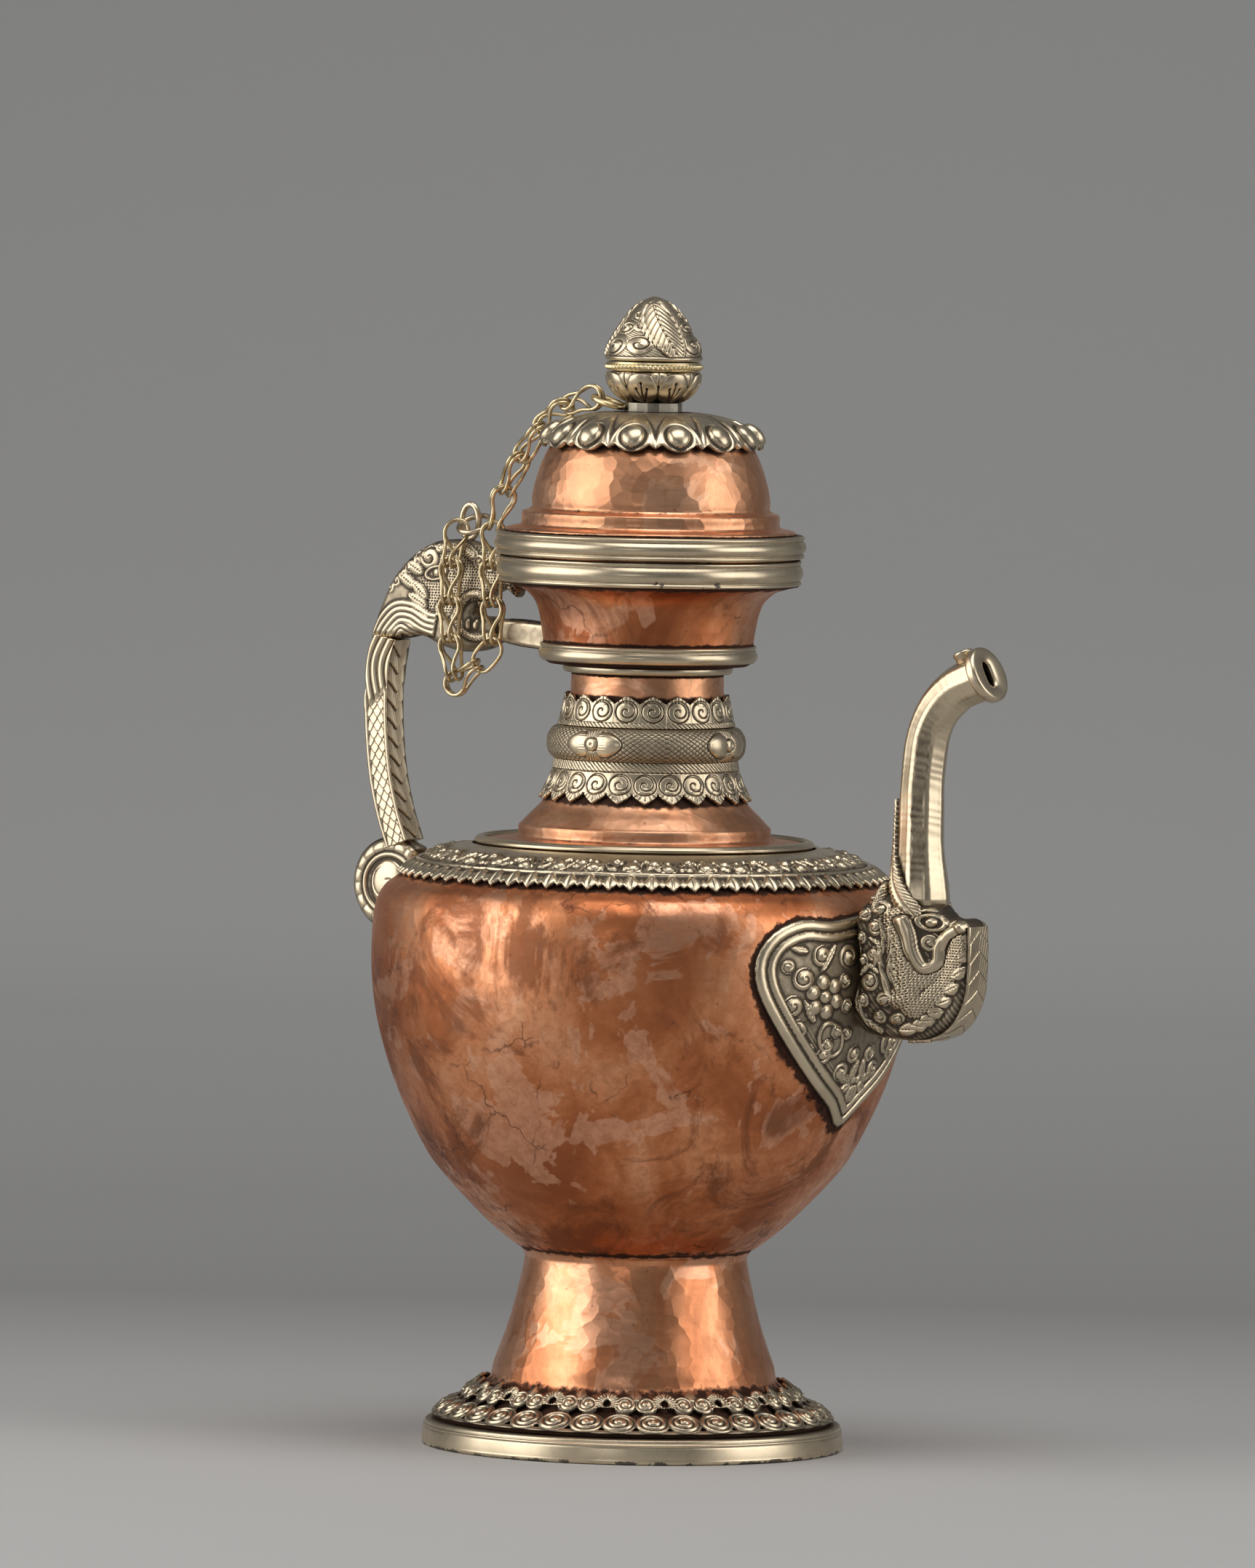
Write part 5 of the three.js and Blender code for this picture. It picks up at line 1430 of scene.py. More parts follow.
def head_motif(u, z):
    """Heights of the handle's beast head: mane, curls, brow, eye, pricked cheek and lips."""
    height = 0.32 - 0.42 * pits(u, z, 1.15) * (z > 295) * (u < 95)
    height = piled(height, petal, u, z, (
        ((92, 300), (99.5, 306.5)), ((92, 297), (100.5, 301.5)), ((91, 293.5), (99, 296.6)),
        ((94, 309), (101.5, 313)), ((97, 304), (105, 308.6)),
    ), 4.8, 1.15, 1.1)
    sweep_back = [[88, 290.5], [93, 291.5], [99, 294.4], [105, 294.4], [110, 290], [113.4, 284.6]]
    height = np.maximum.reduce([
        height,
        ribbon(u, z, sweep_back, 8.4, 1.15, 4),
        ribbon(u, z, [[92, 285.4], [98, 287.2], [103.4, 289.6], [108, 285.6]], 5.4, 1.0, 3),
    ])
    scallops = [((108.6 - step * 2.9, 303.6 + step * 2.4),) for step in range(6)]
    height = piled(height, curl, u, z, scallops, 2.3, 1, 0.85)
    height = np.maximum.reduce([
        height,
        strand(u, z, [[98, 312], [97, 316.6], [92, 319.4], [86.4, 318.4]], 1.5, 1.15, 0.8, True),
        curl(u, z, (91.4, 314.8), 4.2, 1, 1.1),
    ])
    eye = np.hypot((u - 88.4 + 0.15 * (z - 310)) / 4.0, (z - 309.4 + 0.12 * (u - 88)) / 2.2)
    height = np.where(eye < 1.35, 0.25, height)
    height = np.maximum.reduce([
        height,
        np.where(eye < 1.25, 0.85 * half_round(np.abs(eye - 1.06), 0.4), 0),
        0.95 * dome(np.hypot(u - 88.2, z - 309.4), 1.55),
        strand(u, z, [[87, 318.6], [82, 319.6], [77, 318.6], [72.6, 316.2]], 4.6, 1.15, 1.05, True),
        strand(u, z, [[85.6, 306.4], [84.2, 303], [85.4, 299.8]], 1.7, 1.0, 0.0, True),
        strand(u, z, [[84.6, 299], [87.6, 297.6], [86.8, 294.4], [83.4, 293.6]], 2.2, 1.0, 0.7),
    ])
    height = piled(height, curl, u, z, (
        ((69.8, 314), 2.7, -1, 1.1), ((78.6, 311.6), 2.4, 1, 1.0), ((65.2, 312.2), 1.8, 1, 0.9)))
    mouth = (z < 300.6 - 0.1 * np.abs(u - 66)) & (z > 288.4) & (u < 77.6 - 0.35 * np.abs(z - 294))
    height = np.where(mouth, -1.3, height)
    for root, tip, wide in (
        ((73.4, 299.6), (72.8, 295.0), 2.0), ((70.2, 299.6), (69.6, 294.0), 2.0),
        ((66.8, 299.6), (66.2, 295.4), 2.0), ((74.6, 289.6), (74.2, 293.4), 1.8),
        ((71.4, 289.6), (71.0, 293.4), 1.8),
    ):
        tooth = petal(u, z, root, tip, wide, 1.0)
        height = np.maximum(height, tooth - 0.9 * (height < -1))
    lower_lip = [[79.6, 292], [76.4, 288.4], [71.4, 286.6], [66.2, 287.4]]
    upper_lip = [
        [80.4, 293.6], [78.4, 297.2], [75.0, 301.4], [70.6, 302.4], [66.4, 300.2], [61.6, 302.2],
        [57.4, 304.2],
    ]
    height = np.maximum.reduce([
        height,
        strand(u, z, upper_lip, 3.2, 1.2, 0.95, True),
        strand(u, z, lower_lip, 2.6, 1.1, 0.85, True),
    ])
    return height - 0.2


HEAD_OUTLINE = [
    [116.4, 284.9], [115.8, 291], [112.6, 299], [108.6, 306.6], [103.4, 312.6], [97, 317.6],
    [90, 320.6], [83, 321.6], [76, 321.4], [69, 319.6], [62.6, 316.8], [58.4, 313.8], [56.2, 310.2],
    [54, 305.6], [55.4, 301.6], [59.6, 304.4], [64, 303], [68.6, 299.4], [71.6, 295.4],
    [68.4, 294.4], [62.6, 294], [62, 289], [63.4, 284.6], [70, 282], [79, 281.4], [88, 283.4],
    [96, 286.4], [104.4, 284.9],
]
worked_slab(
    "handle_head_look", HEAD_OUTLINE, lambda u, z: 4.6, 3.6, head_motif, 0.3, -1, "handle_head")
worked_slab(
    "handle_tongue_look",
    [
        [62, 293.4], [54, 293.8], [46, 293.2], [38.6, 292.8], [37.9, 291], [37.5, 287.6],
        [39.2, 287.3], [40, 283.4], [46, 283.6], [54, 284.4], [61.4, 286], [61.9, 289],
    ],
    lambda u, z: 4.0, 1.4, lambda u, z: 0.25, 0.5, -1, "handle_tongue", 0.7,
)


VOLUTE_U, VOLUTE_Z = 106.4, 196.4


def volute_motif(u, z):
    """Heights of the scroll foot: a gadrooned border round an oval dome."""
    far, turned = disc_place(u, z, VOLUTE_U, VOLUTE_Z)
    lobes = np.abs(np.sin(turned * 9)) ** 0.6
    height = 0.7 * half_round(np.abs(far - 14.0), 4.4) * (0.45 + 0.55 * lobes)
    height += 0.7 * half_round(np.abs(far - 10.6), 1.7)
    oval = np.hypot((u - VOLUTE_U) / 7.4, (z - VOLUTE_Z) / 8.6)
    height = np.maximum(height, 2.2 * dome(oval, 1))
    height -= 0.5 * groove(curl_line(far, turned, 7.4, 1.2, 1), 0.9) * (far < 7) * (far > 1.5)
    return height


volute_turns = turn_steps(48)
volute_disc = np.stack(
    [VOLUTE_U + 17 * np.cos(volute_turns), VOLUTE_Z + 17 * np.sin(volute_turns)], 1)
under_body = volute_disc[:, 0] < 97.2 - 0.06 * np.clip(198 - volute_disc[:, 1], 0, 20) ** 0.5
volute_disc[:, 0] = np.where(
    under_body, 97.2 - 0.10 * np.abs(volute_disc[:, 1] - 187), volute_disc[:, 0])
worked_slab(
    "handle_volute_look", volute_disc, lambda u, z: 4.6, 4.0, volute_motif, 0.3, -1,
    "handle_volute", 0.45)


def between(place, low, high, first, second):
    """The value at a place between low, where it is the first, and high, where it is the second."""
    return (high - place) / (high - low) * first + (place - low) / (high - low) * second


def wire_piece(name, points, radius, metal, body, slot, node, per=10, sides=14):
    """A closed wire: a round section carried along a smooth closed line without twisting."""
    points = np.asarray(points, dtype=float)
    before, start, end, after = (np.roll(points, shift, 0) for shift in (1, 0, -1, -2))
    knot = [np.zeros(len(points))]
    for first, second in ((before, start), (start, end), (end, after)):
        knot.append(knot[-1] + np.sqrt(np.linalg.norm(second - first, axis=1)))
    line = []
    for share in np.arange(per) / per:
        t = (knot[1] + (knot[2] - knot[1]) * share)[:, None]
        k = [value[:, None] for value in knot]
        low, middle, high = (
            between(t, k[n], k[n + 1], first, second)
            for n, (first, second) in enumerate(((before, start), (start, end), (end, after))))
        low, high = between(t, k[0], k[2], low, middle), between(t, k[1], k[3], middle, high)
        line.append(between(t, k[1], k[2], low, high))
    line = np.stack(line, 1).reshape(-1, 3)
    steps = len(line)
    ahead = np.roll(line, -1, 0) - np.roll(line, 1, 0)
    ahead /= np.linalg.norm(ahead, axis=1)[:, None]
    side = np.cross(ahead[0], [0.3, 0.5, 0.8])
    carried = []
    for step in range(steps + 1):
        along = ahead[step % steps]
        side = side - along * side.dot(along)
        side = side / np.linalg.norm(side)
        carried.append(side)
    first, last = carried[0], carried[-1]
    twist = math.atan2(np.cross(last, first).dot(ahead[0]), last.dot(first))
    turns = turn_steps(sides)
    rings = []
    for step in range(steps):
        one = carried[step]
        other = np.cross(ahead[step], one)
        angle = turns + twist * step / steps
        rings.append(
            line[step] + radius * (np.cos(angle)[:, None] * one + np.sin(angle)[:, None] * other))
    points = np.vstack(rings)
    points[:, 0] += AXIS_MM
    piece = put_mesh(
        name, points, [grid_faces(steps, sides, wrap_rows=True, wrap_columns=True)],
        {"relief": np.full(len(points), 0.75)})
    finish_piece(piece, metal, body, slot, node)


def oval(centre, along, across, half_along, half_across, count=12):
    """Places round an oval, given by its middle and two unit directions."""
    turns = turn_steps(count)[:, None]
    return (
        np.array(centre) + np.cos(turns) * half_along * np.array(along)
        + np.sin(turns) * half_across * np.array(across))


wire_piece(
    "handle_eye_look", oval((-77.3, 0, 328.2), (1, 0, 0), (0, 0, 1), 3.6, 6.1), 1.1, pale_metal,
    "vessel", "pale_metal",
    "handle_eye")
ring_tilt = 0.5
wire_piece(
    "handle_ring_look",
    oval((-73.36, -2.8, 327.4), (1, 0, 0), (0, math.cos(ring_tilt), math.sin(ring_tilt)), 6, 6),
    1.0, pale_metal, "ring", "pale_metal", "handle_ring")

# Spout
# A plate with raised borders and scrolls is soldered to the bowl round the port. A
# beast's head stands out from it, and the faceted tube rises from the head's crown.
PLATE_HALF = [
    [0, 119], [10, 126.5], [22.4, 135], [34.7, 146], [44.8, 158], [51.5, 170], [52.2, 181],
    [46, 190], [34.7, 194.4], [22.4, 193.6], [11, 194.8], [0, 195.6],
]
plate_outline = np.array(
    PLATE_HALF + [[-across, height] for across, height in PLATE_HALF[-2:0:-1]], dtype=float)


def plate_motif(y, z, inside):
    """Heights of the plate: two border ridges, scrolls, a flower, an oval and a fan of leaves."""
    side = np.abs(y) / 1.12
    floor = 0.12 - 0.10 * pits(y, z, 0.9)
    height = floor
    height = piled(height, curl, side, z, (
        ((24, 181.5), 3.9, 1), ((12.6, 181), 4.3, -1), ((31, 173.6), 4.0, 1), ((34.4, 164), 3.8, 1),
        ((31.6, 155.4), 3.8, 1), ((12.4, 163.6), 2.6, -1), ((4.6, 145.8), 3.2, 1),
        ((9, 139.6), 3.4, -1), ((19, 146), 3.4, 1), ((36.6, 178), 2.4, -1), ((14, 172.6), 2.8, 1),
        ((10.4, 153.6), 2.4, 1),
    ), 1.25)
    flower = (22.4, 167)
    for leaf_turn in np.arange(6) * math.pi / 3 + 0.3:
        spot = (flower[0] + 5.1 * math.cos(leaf_turn), flower[1] + 5.4 * math.sin(leaf_turn))
        far, turned = disc_place(side, z, *spot)
        lobe = 1.35 * dome(far, 2.75) - 0.12 * stripes(far, 0.8, 0.4) * (far < 2.6)
        height = np.maximum(height, lobe + 0.1)
    height = np.maximum(height, 0.3 + 1.4 * dome(np.hypot(side - flower[0], z - flower[1]), 2.2))
    medallion = np.hypot((side - 17.2 - 0.3 * (z - 151)) / 5.0, (z - 151.6) / 6.0)
    height = np.maximum.reduce([
        height,
        np.where(medallion < 1.12, 0.5 + 0.45 * half_round(np.abs(medallion - 1.0), 0.22), 0),
        curl(side, z, (18.6, 149.4), 2.5, 1, 1.35) + 0.3 * (medallion < 0.9),
        curl(side, z, (15.6, 154.6), 2.5, -1, 1.35) + 0.3 * (medallion < 0.9),
    ])
    height = piled(height, petal, side, z, (
        ((3, 136.6), (1.5, 144), 3.6), ((3, 136), (9.6, 138), 3.6), ((2.4, 135), (7.4, 131.4), 3.8),
        ((0.6, 134.4), (1.4, 127.8), 4.2), ((25.6, 158), (30.4, 166), 2.6),
        ((24.6, 176), (18.6, 185.6), 2.6), ((26.6, 150.6), (23, 144.6), 2.8),
        ((29.6, 183.4), (35.6, 184.6), 2.6),
    ), 1.25, 0.9)
    height = np.maximum(height, 1.2 * dome(np.hypot(side - 1.2, z - 136.4), 1.7) + 0.1)
    lines = half_round(np.abs(inside - 8.5), 0.7) + half_round(np.abs(inside - 9.7), 0.6)
    height = np.maximum(height, 0.12 + 0.3 * lines * ((z < 158) | (z > 186)))
    border = 0.25 + 0.95 * half_round(np.abs(inside - 1.9), 3.5) * (inside < 3.7)
    border += 0.75 * half_round(np.abs(inside - 5.7), 2.9) * (inside > 4.2)
    border += 0.2 * (inside > 3.7) * (inside < 4.4)
    return np.where(inside < 7.2, border, height)


def bowl_radius(heights):
    """Distance of the bowl's outside from the axis at each height."""
    upward = bowl_outer[bowl_outer[:, 1] < 200]
    return np.interp(heights, upward[:, 1], upward[:, 0])


plate_y, plate_z, plate_inside, plate_keep = outline_grid(plate_outline, 0.34)
plate_height = plate_motif(plate_y, plate_z, plate_inside)
plate_turn = np.arcsin(plate_y / (bowl_radius(plate_z) + 0.1))
plate_out = 0.35 + plate_height * 1.25
plate_piece = sheet_shell(
    "spout_plate_look", spun(bowl_radius(plate_z) + plate_out, plate_z, plate_turn),
    spun(bowl_radius(plate_z) + 0.08, plate_z, plate_turn), plate_keep,
    brightness(plate_height, soften(plate_height), 0.58, 2.4, 0.7, 0.6), False)
finish_piece(plate_piece, pale_metal, "vessel", "pale_metal", "spout_plate")

bowl_places = np.empty(len(bowl_piece.data.vertices) * 3)
bowl_piece.data.vertices.foreach_get("co", bowl_places)
bowl_places = bowl_places.reshape(-1, 3) * 1000
plate_edge = spline(plate_outline, 3, closed=True)
beyond_plate = -outline_gap(bowl_places[:, 1], bowl_places[:, 2], plate_edge)[0]
thick_solder = 1.2 + 1.6 * np.clip((185 - bowl_places[:, 2]) / 40, 0, 1) * (bowl_places[:, 1] < 10)
plate_solder = np.interp(beyond_plate / thick_solder, [-2, 0, 1.0, 2.6], [1.0, 0.95, 0.5, 0.0])
plate_solder = plate_solder * (bowl_places[:, 0] > 20)
bowl_marks = bowl_piece.data.attributes["seam"].data
bowl_seams = np.empty(len(bowl_marks))
bowl_marks.foreach_get("value", bowl_seams)
bowl_marks.foreach_set("value", np.maximum(bowl_seams, plate_solder))

SPOUT_HEAD = [
    [93.6, 160.3], [97, 154.8], [102, 152.9], [108, 152.2], [117, 152], [125, 152.9],
    [131.6, 155.9], [136.4, 160.7], [139.6, 167.8], [140.8, 176.1], [141, 185.4], [140.4, 193.4],
    [137.8, 195.8], [134, 195.4], [130.4, 196.2], [127.6, 198.4], [124, 200.6], [117, 201.8],
    [110.4, 203.2], [107.6, 207.2], [105.2, 208.2], [102.6, 205.2], [100.6, 201.4], [97.6, 198.6],
    [95.6, 192.8], [97.4, 185.4], [97.8, 176.1], [96.4, 166.8],
]


def spout_head_width(u, z):
    """Half thickness of the spout's head: broad cheeks that narrow to the snout."""
    cheek = np.clip((131 - u) / 14, 0, 1)
    belly = np.clip((z - 152) / 14, 0.25, 1) * np.clip((209 - z) / 12, 0.45, 1)
    return 6.4 + 5.2 * cheek ** 1.3 * (3 - 2 * cheek) ** 0.5 * belly


def spout_head_motif(u, z):
    """Heights of the spout's beast head: jaw, trunk, eye, curls, collar and scalloped belly."""
    z = z - np.interp(z, [152, 195.6, 208.4], [6.0, 2.6, 0.0])
    forward = np.clip((u - 109) / 11, 0, 1)
    u, z = u - 4 * forward, z - 2.6 * forward
    height = 0.15 + 0.12 * np.sin(u * 3 + z * 2)
    throat = [[112.4, 193.4], [112.8, 184], [114.4, 173], [116, 163], [117.4, 155.6]]
    jaw = [[117.6, 157], [121.4, 158.6], [126.4, 164.6], [130.6, 173.6], [133.6, 182.6]]
    cheek = [[115, 160.6], [117, 166], [121, 168.6], [125.4, 171.6]]
    for line, width in ((throat, 7.6), (jaw, 7.8), (cheek, 9.5)):
        far = nearest_on(u, z, line)[0]
        skin = 0.95 * dome(2 * far, width) + 0.2 - 0.55 * pits(u, z, 1.2)
        height = np.where(far < width / 2, np.maximum(height, skin), height)
    trunk = [
        [113.6, 190.4], [115.6, 184], [117, 177], [120.4, 171.6], [125, 173.6], [125.6, 179.4],
        [128, 184], [131.6, 186.6],
    ]
    far = nearest_on(u, z, trunk)[0]
    body = 1.7 * dome(far, 2.3) - 0.25 * groove(np.abs(far - 1.5), 0.5)
    height = np.where(far < 2.5, np.maximum(body + 0.1, 0), height)
    nostril = [[130.2, 184.4], [129.6, 189], [132.6, 191.4], [136.6, 190]]
    height = np.maximum.reduce([
        height,
        2.5 * dome(np.hypot(u - 134, z - 188.2), 3.0) + 0.1,
        strand(u, z, nostril, 1.3, 1.1, 0, True),
    ])
    eye = np.hypot((u - 122.8 + 0.3 * (z - 189)) / 4.4, (z - 189) / 2.8)
    height = np.where(eye < 1.3, 0.45 + 0.8 * half_round(np.abs(eye - 1.02), 0.5), height)
    height = np.maximum.reduce([
        height,
        1.9 * dome(np.hypot(u - 122.8, z - 189), 1.9) + 0.2,
        strand(u, z, [[116.6, 190.6], [119.4, 193.6], [124, 194], [128.4, 190.6]], 2.0, 1.3, 0.9),
        curl(u, z, (122.6, 181.6), 3.6, 1, 1.3),
    ])
    height = piled(height, curl, u, z, (
        ((102.6, 201), 2.9, 1), ((107, 196.4), 3.5, -1), ((101, 193.6), 2.8, 1),
        ((105.4, 188.6), 3.1, 1), ((100.4, 176), 2.6, -1), ((103.6, 168), 3.6, 1),
        ((109, 161.4), 2.8, -1), ((100.6, 160.6), 2.6, 1), ((106.6, 154.6), 2.6, 1),
        ((99.4, 184.4), 2.4, 1), ((112, 153), 2.2, -1), ((105, 178.4), 2.9, 1),
    ), 1.35)
    height = piled(height, strand, u, z, (
        ([[107.6, 192], [109, 184], [107.8, 176.6], [109.6, 168.6], [111, 160]],),
        ([[110.4, 188], [111.4, 180], [111, 172.4], [113, 164]],),
        ([[103.6, 184.6], [107.4, 181.4], [105.4, 174]],),
        ([[99.6, 170.4], [103.4, 174], [107.2, 171.6]],),
    ), 2.5, 1.3, 0.9)
    collar = [[98.2, 184], [97.6, 172], [97.4, 163], [100.6, 153.4], [106, 149.4]]
    height = np.maximum(height, strand(u, z, collar, 3.2, 1.3, 0.9, True))
    for step in range(8):
        share = step / 7
        spot = (113.6 + 21 * share ** 0.9, 149.6 + 26 * share ** 1.9)
        tip = (spot[0] + 3.6 + 1.2 * share, spot[1] - 2.2 + 6.4 * share)
        root = (spot[0] - 1.4, spot[1] - 0.6)
        height = np.maximum(height, petal(u, z, root, tip, 5.0, 1.05, 0.9))
    horn = [[104.6, 196], [105.6, 201], [107.4, 206.4], [109.4, 208]]
    height = np.maximum(height, strand(u, z, horn, 4.6, 1.5, 0.9))
    return height * 1.4 - 0.45


worked_slab(
    "spout_head_look", SPOUT_HEAD, spout_head_width, 3.4, spout_head_motif, 0.3, 1,
    "spout_head", 0.62)


def snout_motif(run, across):
    """Heights of overlapping chevron plates with fine lines."""
    place = (run + 0.75 * np.abs(across)) / 7.0
    share = place - np.floor(place)
    edge = 0.5 * np.clip((6.6 - np.abs(across)) / 1.0, 0, 1)
    return (0.85 * share + 0.14 * np.abs(np.cos(across * 2.2 - run * 0.4))) * edge + 0.1


snout_run, snout_x, snout_z = even_places(spline([
    [116, 151.4], [125, 152.3], [132.2, 155.3], [137, 160.4], [140.2, 167.6], [141.2, 176.1],
    [141.3, 185.4], [140.9, 193.2],
], 12), 240)
snout_out_x, snout_out_z = slope_out(snout_x, snout_z)
snout_half = np.interp(snout_run / snout_run[-1], [0, 0.3, 1], [5.0, 6.4, 6.2])
snout_across = np.linspace(-1, 1, 64)[None, :] * snout_half[:, None]
snout_height = snout_motif(snout_run[:, None] + 0 * snout_across, snout_across)
snout_front, snout_back = (np.stack([
    AXIS_MM + snout_x[:, None] + snout_out_x[:, None] * lift, snout_across,
    snout_z[:, None] + snout_out_z[:, None] * lift,
], -1) for lift in (snout_height, -0.8 + 0 * snout_height))
snout_piece = sheet_shell(
    "spout_snout_plates", snout_front, snout_back, np.ones_like(snout_across, dtype=bool),
    brightness(snout_height, soften(snout_height), 0.66, 2.6), False)
finish_piece(snout_piece, pale_metal, "vessel", "pale_metal", "spout_head")


def tube_motif(run, across, deep):
    """Heights of the spout tube's flat hammered facets and their soft edges."""
    ripple = 0.028 * np.sin(run * 1.9 + across * 0.5 + 2.1 * np.sin(run * 0.37))
    return ripple + 0.07 * np.sin(run * 0.31 + deep * 0.4)


def tube_painted_shade(run, deep):
    """Painted shade on the tube's two side facets, standing in for the dark reflection they show,
    with a wandering edge.
    """
    middle = -2.9 + 0.35 * np.sin(run * 0.21)
    half = 2.35 + 0.3 * np.sin(run * 0.9 + 2 * np.sin(run * 0.23))
    shaded_band = np.clip((half - np.abs(deep - middle)) / 0.4, 0, 1)
    return 0.42 * shaded_band * np.clip((run - 7) / 5, 0, 1) * np.clip((84 - run) / 24, 0, 1)


tube_corners = np.array([
    [-8.3, 0], [-6.05, -5.8], [0, -8.8], [6.05, -5.8], [8.3, 0], [6.05, 5.8], [0, 8.8],
    [-6.05, 5.8],
])
tube_section = [
    corner + (beyond - corner) * share
    for corner, beyond in zip(tube_corners, np.roll(tube_corners, -1, axis=0))
    for share in (0.12, 0.3, 0.5, 0.7, 0.88)
]
SPOUT_PATH = [
    [117.5, 197.2], [117.2, 206], [116.9, 212], [116.6, 220], [116.5, 232], [116.9, 247],
    [118.8, 260], [123.2, 269.6], [130.8, 276.8], [140.4, 281.2],
]
# The tube's two side facets get painted shade that stands in for the dark reflection they show.
worked_bar(
    "spout_tube_look", SPOUT_PATH, tube_section, 160, 240, tube_motif, "spout_tube",
    lambda share: np.interp(
        share, [0, 0.015, 0.03, 0.05, 0.08, 0.12, 0.19, 0.28, 0.5, 0.8, 1],
        [0.94, 1.1, 1.2, 1.25, 1.22, 1.16, 1.06, 1.0, 0.97, 0.95, 0.98]), 5.6, tube_painted_shade)

leaf_share = np.linspace(0, 1, 170)[:, None]
leaf_side = np.linspace(-1, 1, 44)[None, :]
leaf_height = 237 - 40.5 * leaf_share ** 0.9 + 0 * leaf_side
leaf_radius = np.interp(
    leaf_height, [197, 202.5, 207, 213, 221, 240], [11.4, 11.0, 10.4, 9.4, 8.7, 8.5])
leaf_reach = 4 + 25 * leaf_share + 2.6 * np.abs(np.sin(leaf_share * 50)) * (leaf_share > 0.05)
leaf_reach = leaf_reach * np.sqrt(np.clip((1 - leaf_share) / 0.12, 0.02, 1))
leaf_turn = np.radians(16 + 98 * leaf_share ** 2.1 + leaf_side * leaf_reach)
leaf_lift = 0.3 + 1.25 * np.sqrt(1 - 0.92 * leaf_side ** 2)
leaf_lift = leaf_lift + 0.3 * np.abs(np.cos(leaf_share * 84 - np.abs(leaf_side) * 4)) * (
    np.abs(leaf_side) > 0.3)
leaf_lift = leaf_lift - 0.35 * np.exp(-(leaf_side / 0.12) ** 2)


def round_the_tube(lift, hand):
    """Places on one side of the spout tube, lifted from it by the given millimetres."""
    return np.stack([
        AXIS_MM + 116.9 - np.cos(leaf_turn) * (leaf_radius + lift),
        hand * np.sin(leaf_turn) * (leaf_radius + lift), leaf_height,
    ], -1)


for leaf_name, hand in (("spout_leaf_look", -1), ("spout_far_leaf_look", 1)):
    leaf_piece = sheet_shell(
        leaf_name, round_the_tube(leaf_lift, hand), round_the_tube(-0.8, hand),
        np.ones_like(leaf_turn, dtype=bool),
        brightness(leaf_lift, soften(leaf_lift), 0.6, 2.6, 1.1, 0.3), False)
    finish_piece(leaf_piece, pale_metal, "vessel", "pale_metal", "spout_tube")

tip_turn = math.radians(25)
tip_axis = np.array([math.cos(tip_turn), 0, math.sin(tip_turn)])
tip_up = np.array([-math.sin(tip_turn), 0, math.cos(tip_turn)])
tip_section = spline([
    [7.9, -2.3], [9.2, -2.2], [10.1, -1.5], [10.3, -0.2], [10.2, 1.0], [9.6, 1.8], [8.6, 2.0],
    [6.6, 1.9], [5.0, 1.5], [4.2, 0.6], [4.4, -0.8], [5.8, -1.0], [6.6, -1.2], [7.4, -1.6],
], 4, closed=True)
tip_steps = 96
TIP_CENTRE = np.array([142.2, 0, 282.06])
tip_turns = turn_steps(tip_steps)
tip_rings = []
for away, forward in tip_section:
    pinch = np.clip((7.6 - away) / 3.4, 0, 1)
    lens = 1 - 0.42 * pinch * np.abs(np.cos(tip_turns))
    tip_rings.append(
        TIP_CENTRE + tip_axis * forward
        + np.cos(tip_turns)[:, None] * away * lens[:, None] * np.array([0, 1, 0])
        + np.sin(tip_turns)[:, None] * away * (1 + 0.12 * pinch) * tip_up)
tip_points = np.vstack(tip_rings)
tip_points[:, 0] += AXIS_MM
tip_piece = put_mesh(
    "spout_tip_ring_look", tip_points,
    [grid_faces(len(tip_section), tip_steps, wrap_rows=True, wrap_columns=True)],
    {"relief": np.full(len(tip_points), 0.9), "worn": np.full(len(tip_points), 0.12)},
)
finish_piece(tip_piece, pale_metal, "vessel", "pale_metal", "spout_tip_ring")

BOSS_CENTRE = np.array([133.2, 0, 287.2])
boss_axis = np.array([-0.42, 0, 0.907])
boss_side = np.array([0.907, 0, 0.42])
boss_section = [
    [0.02, -1.4], [3.2, -1.4], [3.3, 1.2], [3.7, 1.7], [3.75, 2.4], [3.2, 2.9], [1.6, 2.95],
    [0.02, 2.9],
]
boss_ring = np.cos(tip_turns)[:, None] * np.array([0, 1, 0])
boss_ring = boss_ring + np.sin(tip_turns)[:, None] * boss_side
boss_points = np.vstack([
    BOSS_CENTRE + boss_axis * forward + away * boss_ring for away, forward in boss_section])
boss_points[:, 0] += AXIS_MM
boss_ends = [boss_points[:tip_steps].mean(0), boss_points[-tip_steps:].mean(0)]
boss_piece = put_mesh(
    "spout_tip_boss_look", np.vstack([boss_points, boss_ends]), [
        grid_faces(len(boss_section), tip_steps, wrap_columns=True),
        cap_faces(len(boss_section), tip_steps),
    ], {"relief": np.full(len(boss_points) + 2, 0.85)})
finish_piece(boss_piece, pale_metal, "vessel", "pale_metal", "spout_tip_boss")

# Chain
# Each link is a closed brass wire, pinched in its middle and folded double, so that
# its two hooks hold the two eyes of the next. One plain ring closes the loop. A gilt
# wire eye on a steel washer turns under the finial and holds the chain's upper end.
brass, brass_tree, brass_place = new_material("chain_brass")
brass_cloud = noise(brass_tree, brass_place, 260, 4, 0.6)
brass_tone = colour_steps(brass_tree, brass_cloud, [
    (0.34, (0.50, 0.39, 0.23)), (0.5, (0.66, 0.54, 0.34)), (0.66, (0.74, 0.60, 0.37)),
])
brass_spots = patches(brass_tree, noise(brass_tree, brass_place, 520, 4, 0.65), 0.60, 0.68)
show(brass_tree, surface(
    brass_tree, stained(brass_tree, brass_tone, brass_spots, 0.6, (0.20, 0.14, 0.08)),
    summed(brass_tree, 0.22, (brass_cloud, 0.16)), noise(brass_tree, brass_place, 1500, 2),
    0.00006, 0.4))

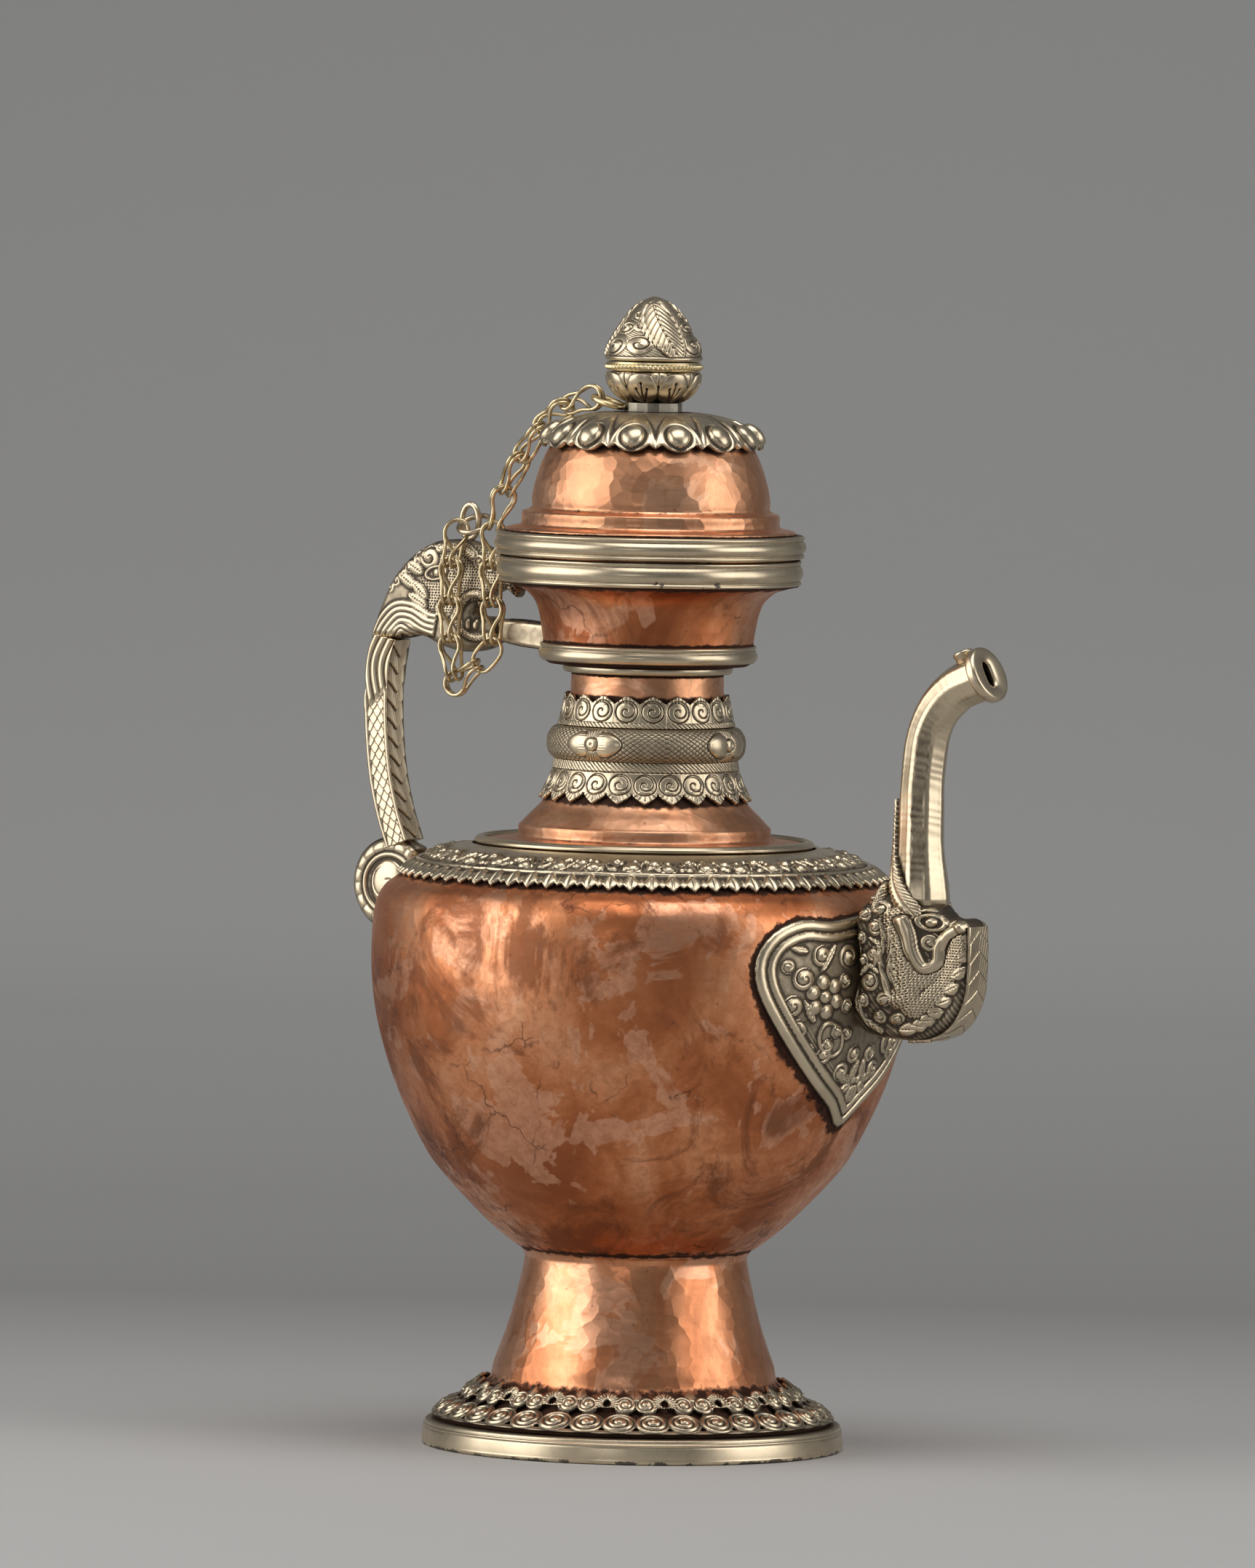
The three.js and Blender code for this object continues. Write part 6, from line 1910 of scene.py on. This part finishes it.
EYE, SPREAD, OFFSET, HOOK, PITCH, DROP = 4.2, 1.5, 0.9, 3.1, 13.7, 0.34
HOOK_REACH = math.sqrt(EYE ** 2 - SPREAD ** 2)
HOOK_CENTRE = PITCH - DROP - HOOK_REACH
CHAIN_PLANE = -9.9
CHAIN_WIRE = 0.7
FINIAL_EYE_X, FINIAL_EYE_Z = -18.4, 375.1


def link_loop():
    """Places on one folded wire: along the link, across it and off its middle plane."""
    quarter = [
        [-EYE, 0, OFFSET], [-EYE * 0.87, EYE * 0.5, OFFSET], [-EYE * 0.5, EYE * 0.87, OFFSET],
        [0, EYE, OFFSET],
        [EYE * 0.5, EYE * 0.9, OFFSET + 0.1], [HOOK_CENTRE * 0.5, EYE * 0.62, (OFFSET + HOOK) / 2],
        [HOOK_CENTRE * 0.78, SPREAD * 1.18, HOOK * 0.93], [HOOK_CENTRE, SPREAD, HOOK],
        [HOOK_CENTRE + HOOK * 0.71, SPREAD, HOOK * 0.71], [HOOK_CENTRE + HOOK, SPREAD, 0],
    ]
    back = quarter[:-1][::-1]
    loop = [[a, b, c] for a, b, c in quarter] + [[a, b, -c] for a, b, c in back]
    loop += [[a, -b, -c] for a, b, c in quarter[1:]] + [[a, -b, c] for a, b, c in back[:-1]]
    return np.array(loop)


def lean(degrees):
    """Unit direction in the middle plane, from +X towards +Z."""
    return np.array([math.cos(math.radians(degrees)), math.sin(math.radians(degrees))])


def place_link(number, centre, direction, plane, tilt, eye_roll, hook_roll):
    """One link at its place in the chain, its hooks rolled to suit the next link's eyes."""
    along, side, off = link_loop().T
    share = np.clip(along / HOOK_CENTRE, 0, 1)
    roll = np.radians(eye_roll + (hook_roll - eye_roll) * share * share * (3 - 2 * share))
    in_plane = side * np.cos(roll) - off * np.sin(roll)
    outward = side * np.sin(roll) + off * np.cos(roll)
    points = np.stack([
        centre[0] + direction[0] * along - direction[1] * in_plane,
        plane + outward - tilt * (along + EYE),
        centre[1] + direction[1] * along + direction[0] * in_plane,
    ], 1)
    label = f"{number:02d}"
    wire_piece(
        f"chain_link_{label}_look", points, CHAIN_WIRE, brass, f"link_{label}", "chain_wire",
        f"chain_link_{label}", 6, 12)


FALL_LEANS = [-163.97, -143.62, -128.03, -118.04, -107.88, -92.62, -85.71, -90.51]
FALL_ROLLS = [0, 56, 88, 76, 52, 26, 0, 0, 0]
JOINING_LEAN = -133.83
link_centre = np.array([FINIAL_EYE_X, FINIAL_EYE_Z]) + lean(FALL_LEANS[0]) * 1.3
for index, degrees in enumerate(FALL_LEANS):
    place_link(
        index + 1, link_centre, lean(degrees), CHAIN_PLANE, 0, FALL_ROLLS[index],
        FALL_ROLLS[index + 1])
    is_last = index == len(FALL_LEANS) - 1
    next_lean = JOINING_LEAN if is_last else FALL_LEANS[index + 1]
    shared = math.sin(math.radians(FALL_ROLLS[index + 1])) ** 2
    onward = lean(degrees) * (1 - shared) + lean(next_lean) * shared
    onward = onward / np.hypot(*onward)
    reach = HOOK_CENTRE + (1.0 if is_last else DROP)
    link_centre = link_centre + lean(degrees) * reach + onward * HOOK_REACH
joining_turns = (np.arange(12) + 0.5) / 12 * math.tau
joining_along = np.cos(joining_turns) * EYE + np.where(np.cos(joining_turns) > 0, 5.5, 0)
joining_side = np.sin(joining_turns) * EYE
joining_way = lean(JOINING_LEAN)
wire_piece(
    "chain_joining_link_look",
    np.stack([
        link_centre[0] + joining_way[0] * joining_along - joining_way[1] * joining_side,
        np.full(12, CHAIN_PLANE),
        link_centre[1] + joining_way[1] * joining_along + joining_way[0] * joining_side,
    ], 1), CHAIN_WIRE, brass, "joining_link", "chain_wire", "chain_joining_link", 10, 12)
RISE_LEANS = [-92.01, -90.85, -87.72, -78.65, 37.46]
link_centre = np.array([-78.1, 325.9]) + lean(RISE_LEANS[0]) * 1.2
for index, degrees in enumerate(RISE_LEANS):
    first_one = index == 0
    place_link(
        index + 9, link_centre, lean(degrees), CHAIN_PLANE + (0.25 * PITCH if first_one else 0),
        0.25 if first_one else 0, 30 if first_one else 0, 0)
    link_centre = link_centre + lean(degrees) * PITCH

eye_turns = turn_steps(12)
wire_piece(
    "finial_eye_look",
    np.stack([
        FINIAL_EYE_X + (1 - np.cos(eye_turns)) * 5.8, -9.7 + np.sin(eye_turns) * 4.2,
        FINIAL_EYE_Z - (1 - np.cos(eye_turns)) * 1.7,
    ], 1), 1.1, gilt, "swivel", "gilt_metal", "finial_eye")

steel, steel_tree, steel_place = new_material("dull_steel")
steel_cloud = noise(steel_tree, steel_place, 180, 4, 0.6)
steel_tone = colour_steps(steel_tree, steel_cloud, [
    (0.35, (0.25, 0.225, 0.18)), (0.65, (0.38, 0.35, 0.29)),
])
show(steel_tree, surface(
    steel_tree, steel_tone, summed(steel_tree, 0.34, (steel_cloud, 0.2)),
    noise(steel_tree, steel_place, 900), 0.0001, 0.4))
for turned_part in ("finial_washer", "finial_pin"):
    kept_node = bpy.data.objects[turned_part]
    kept_node.data.materials.clear()
    kept_node.data.materials.append(steel)
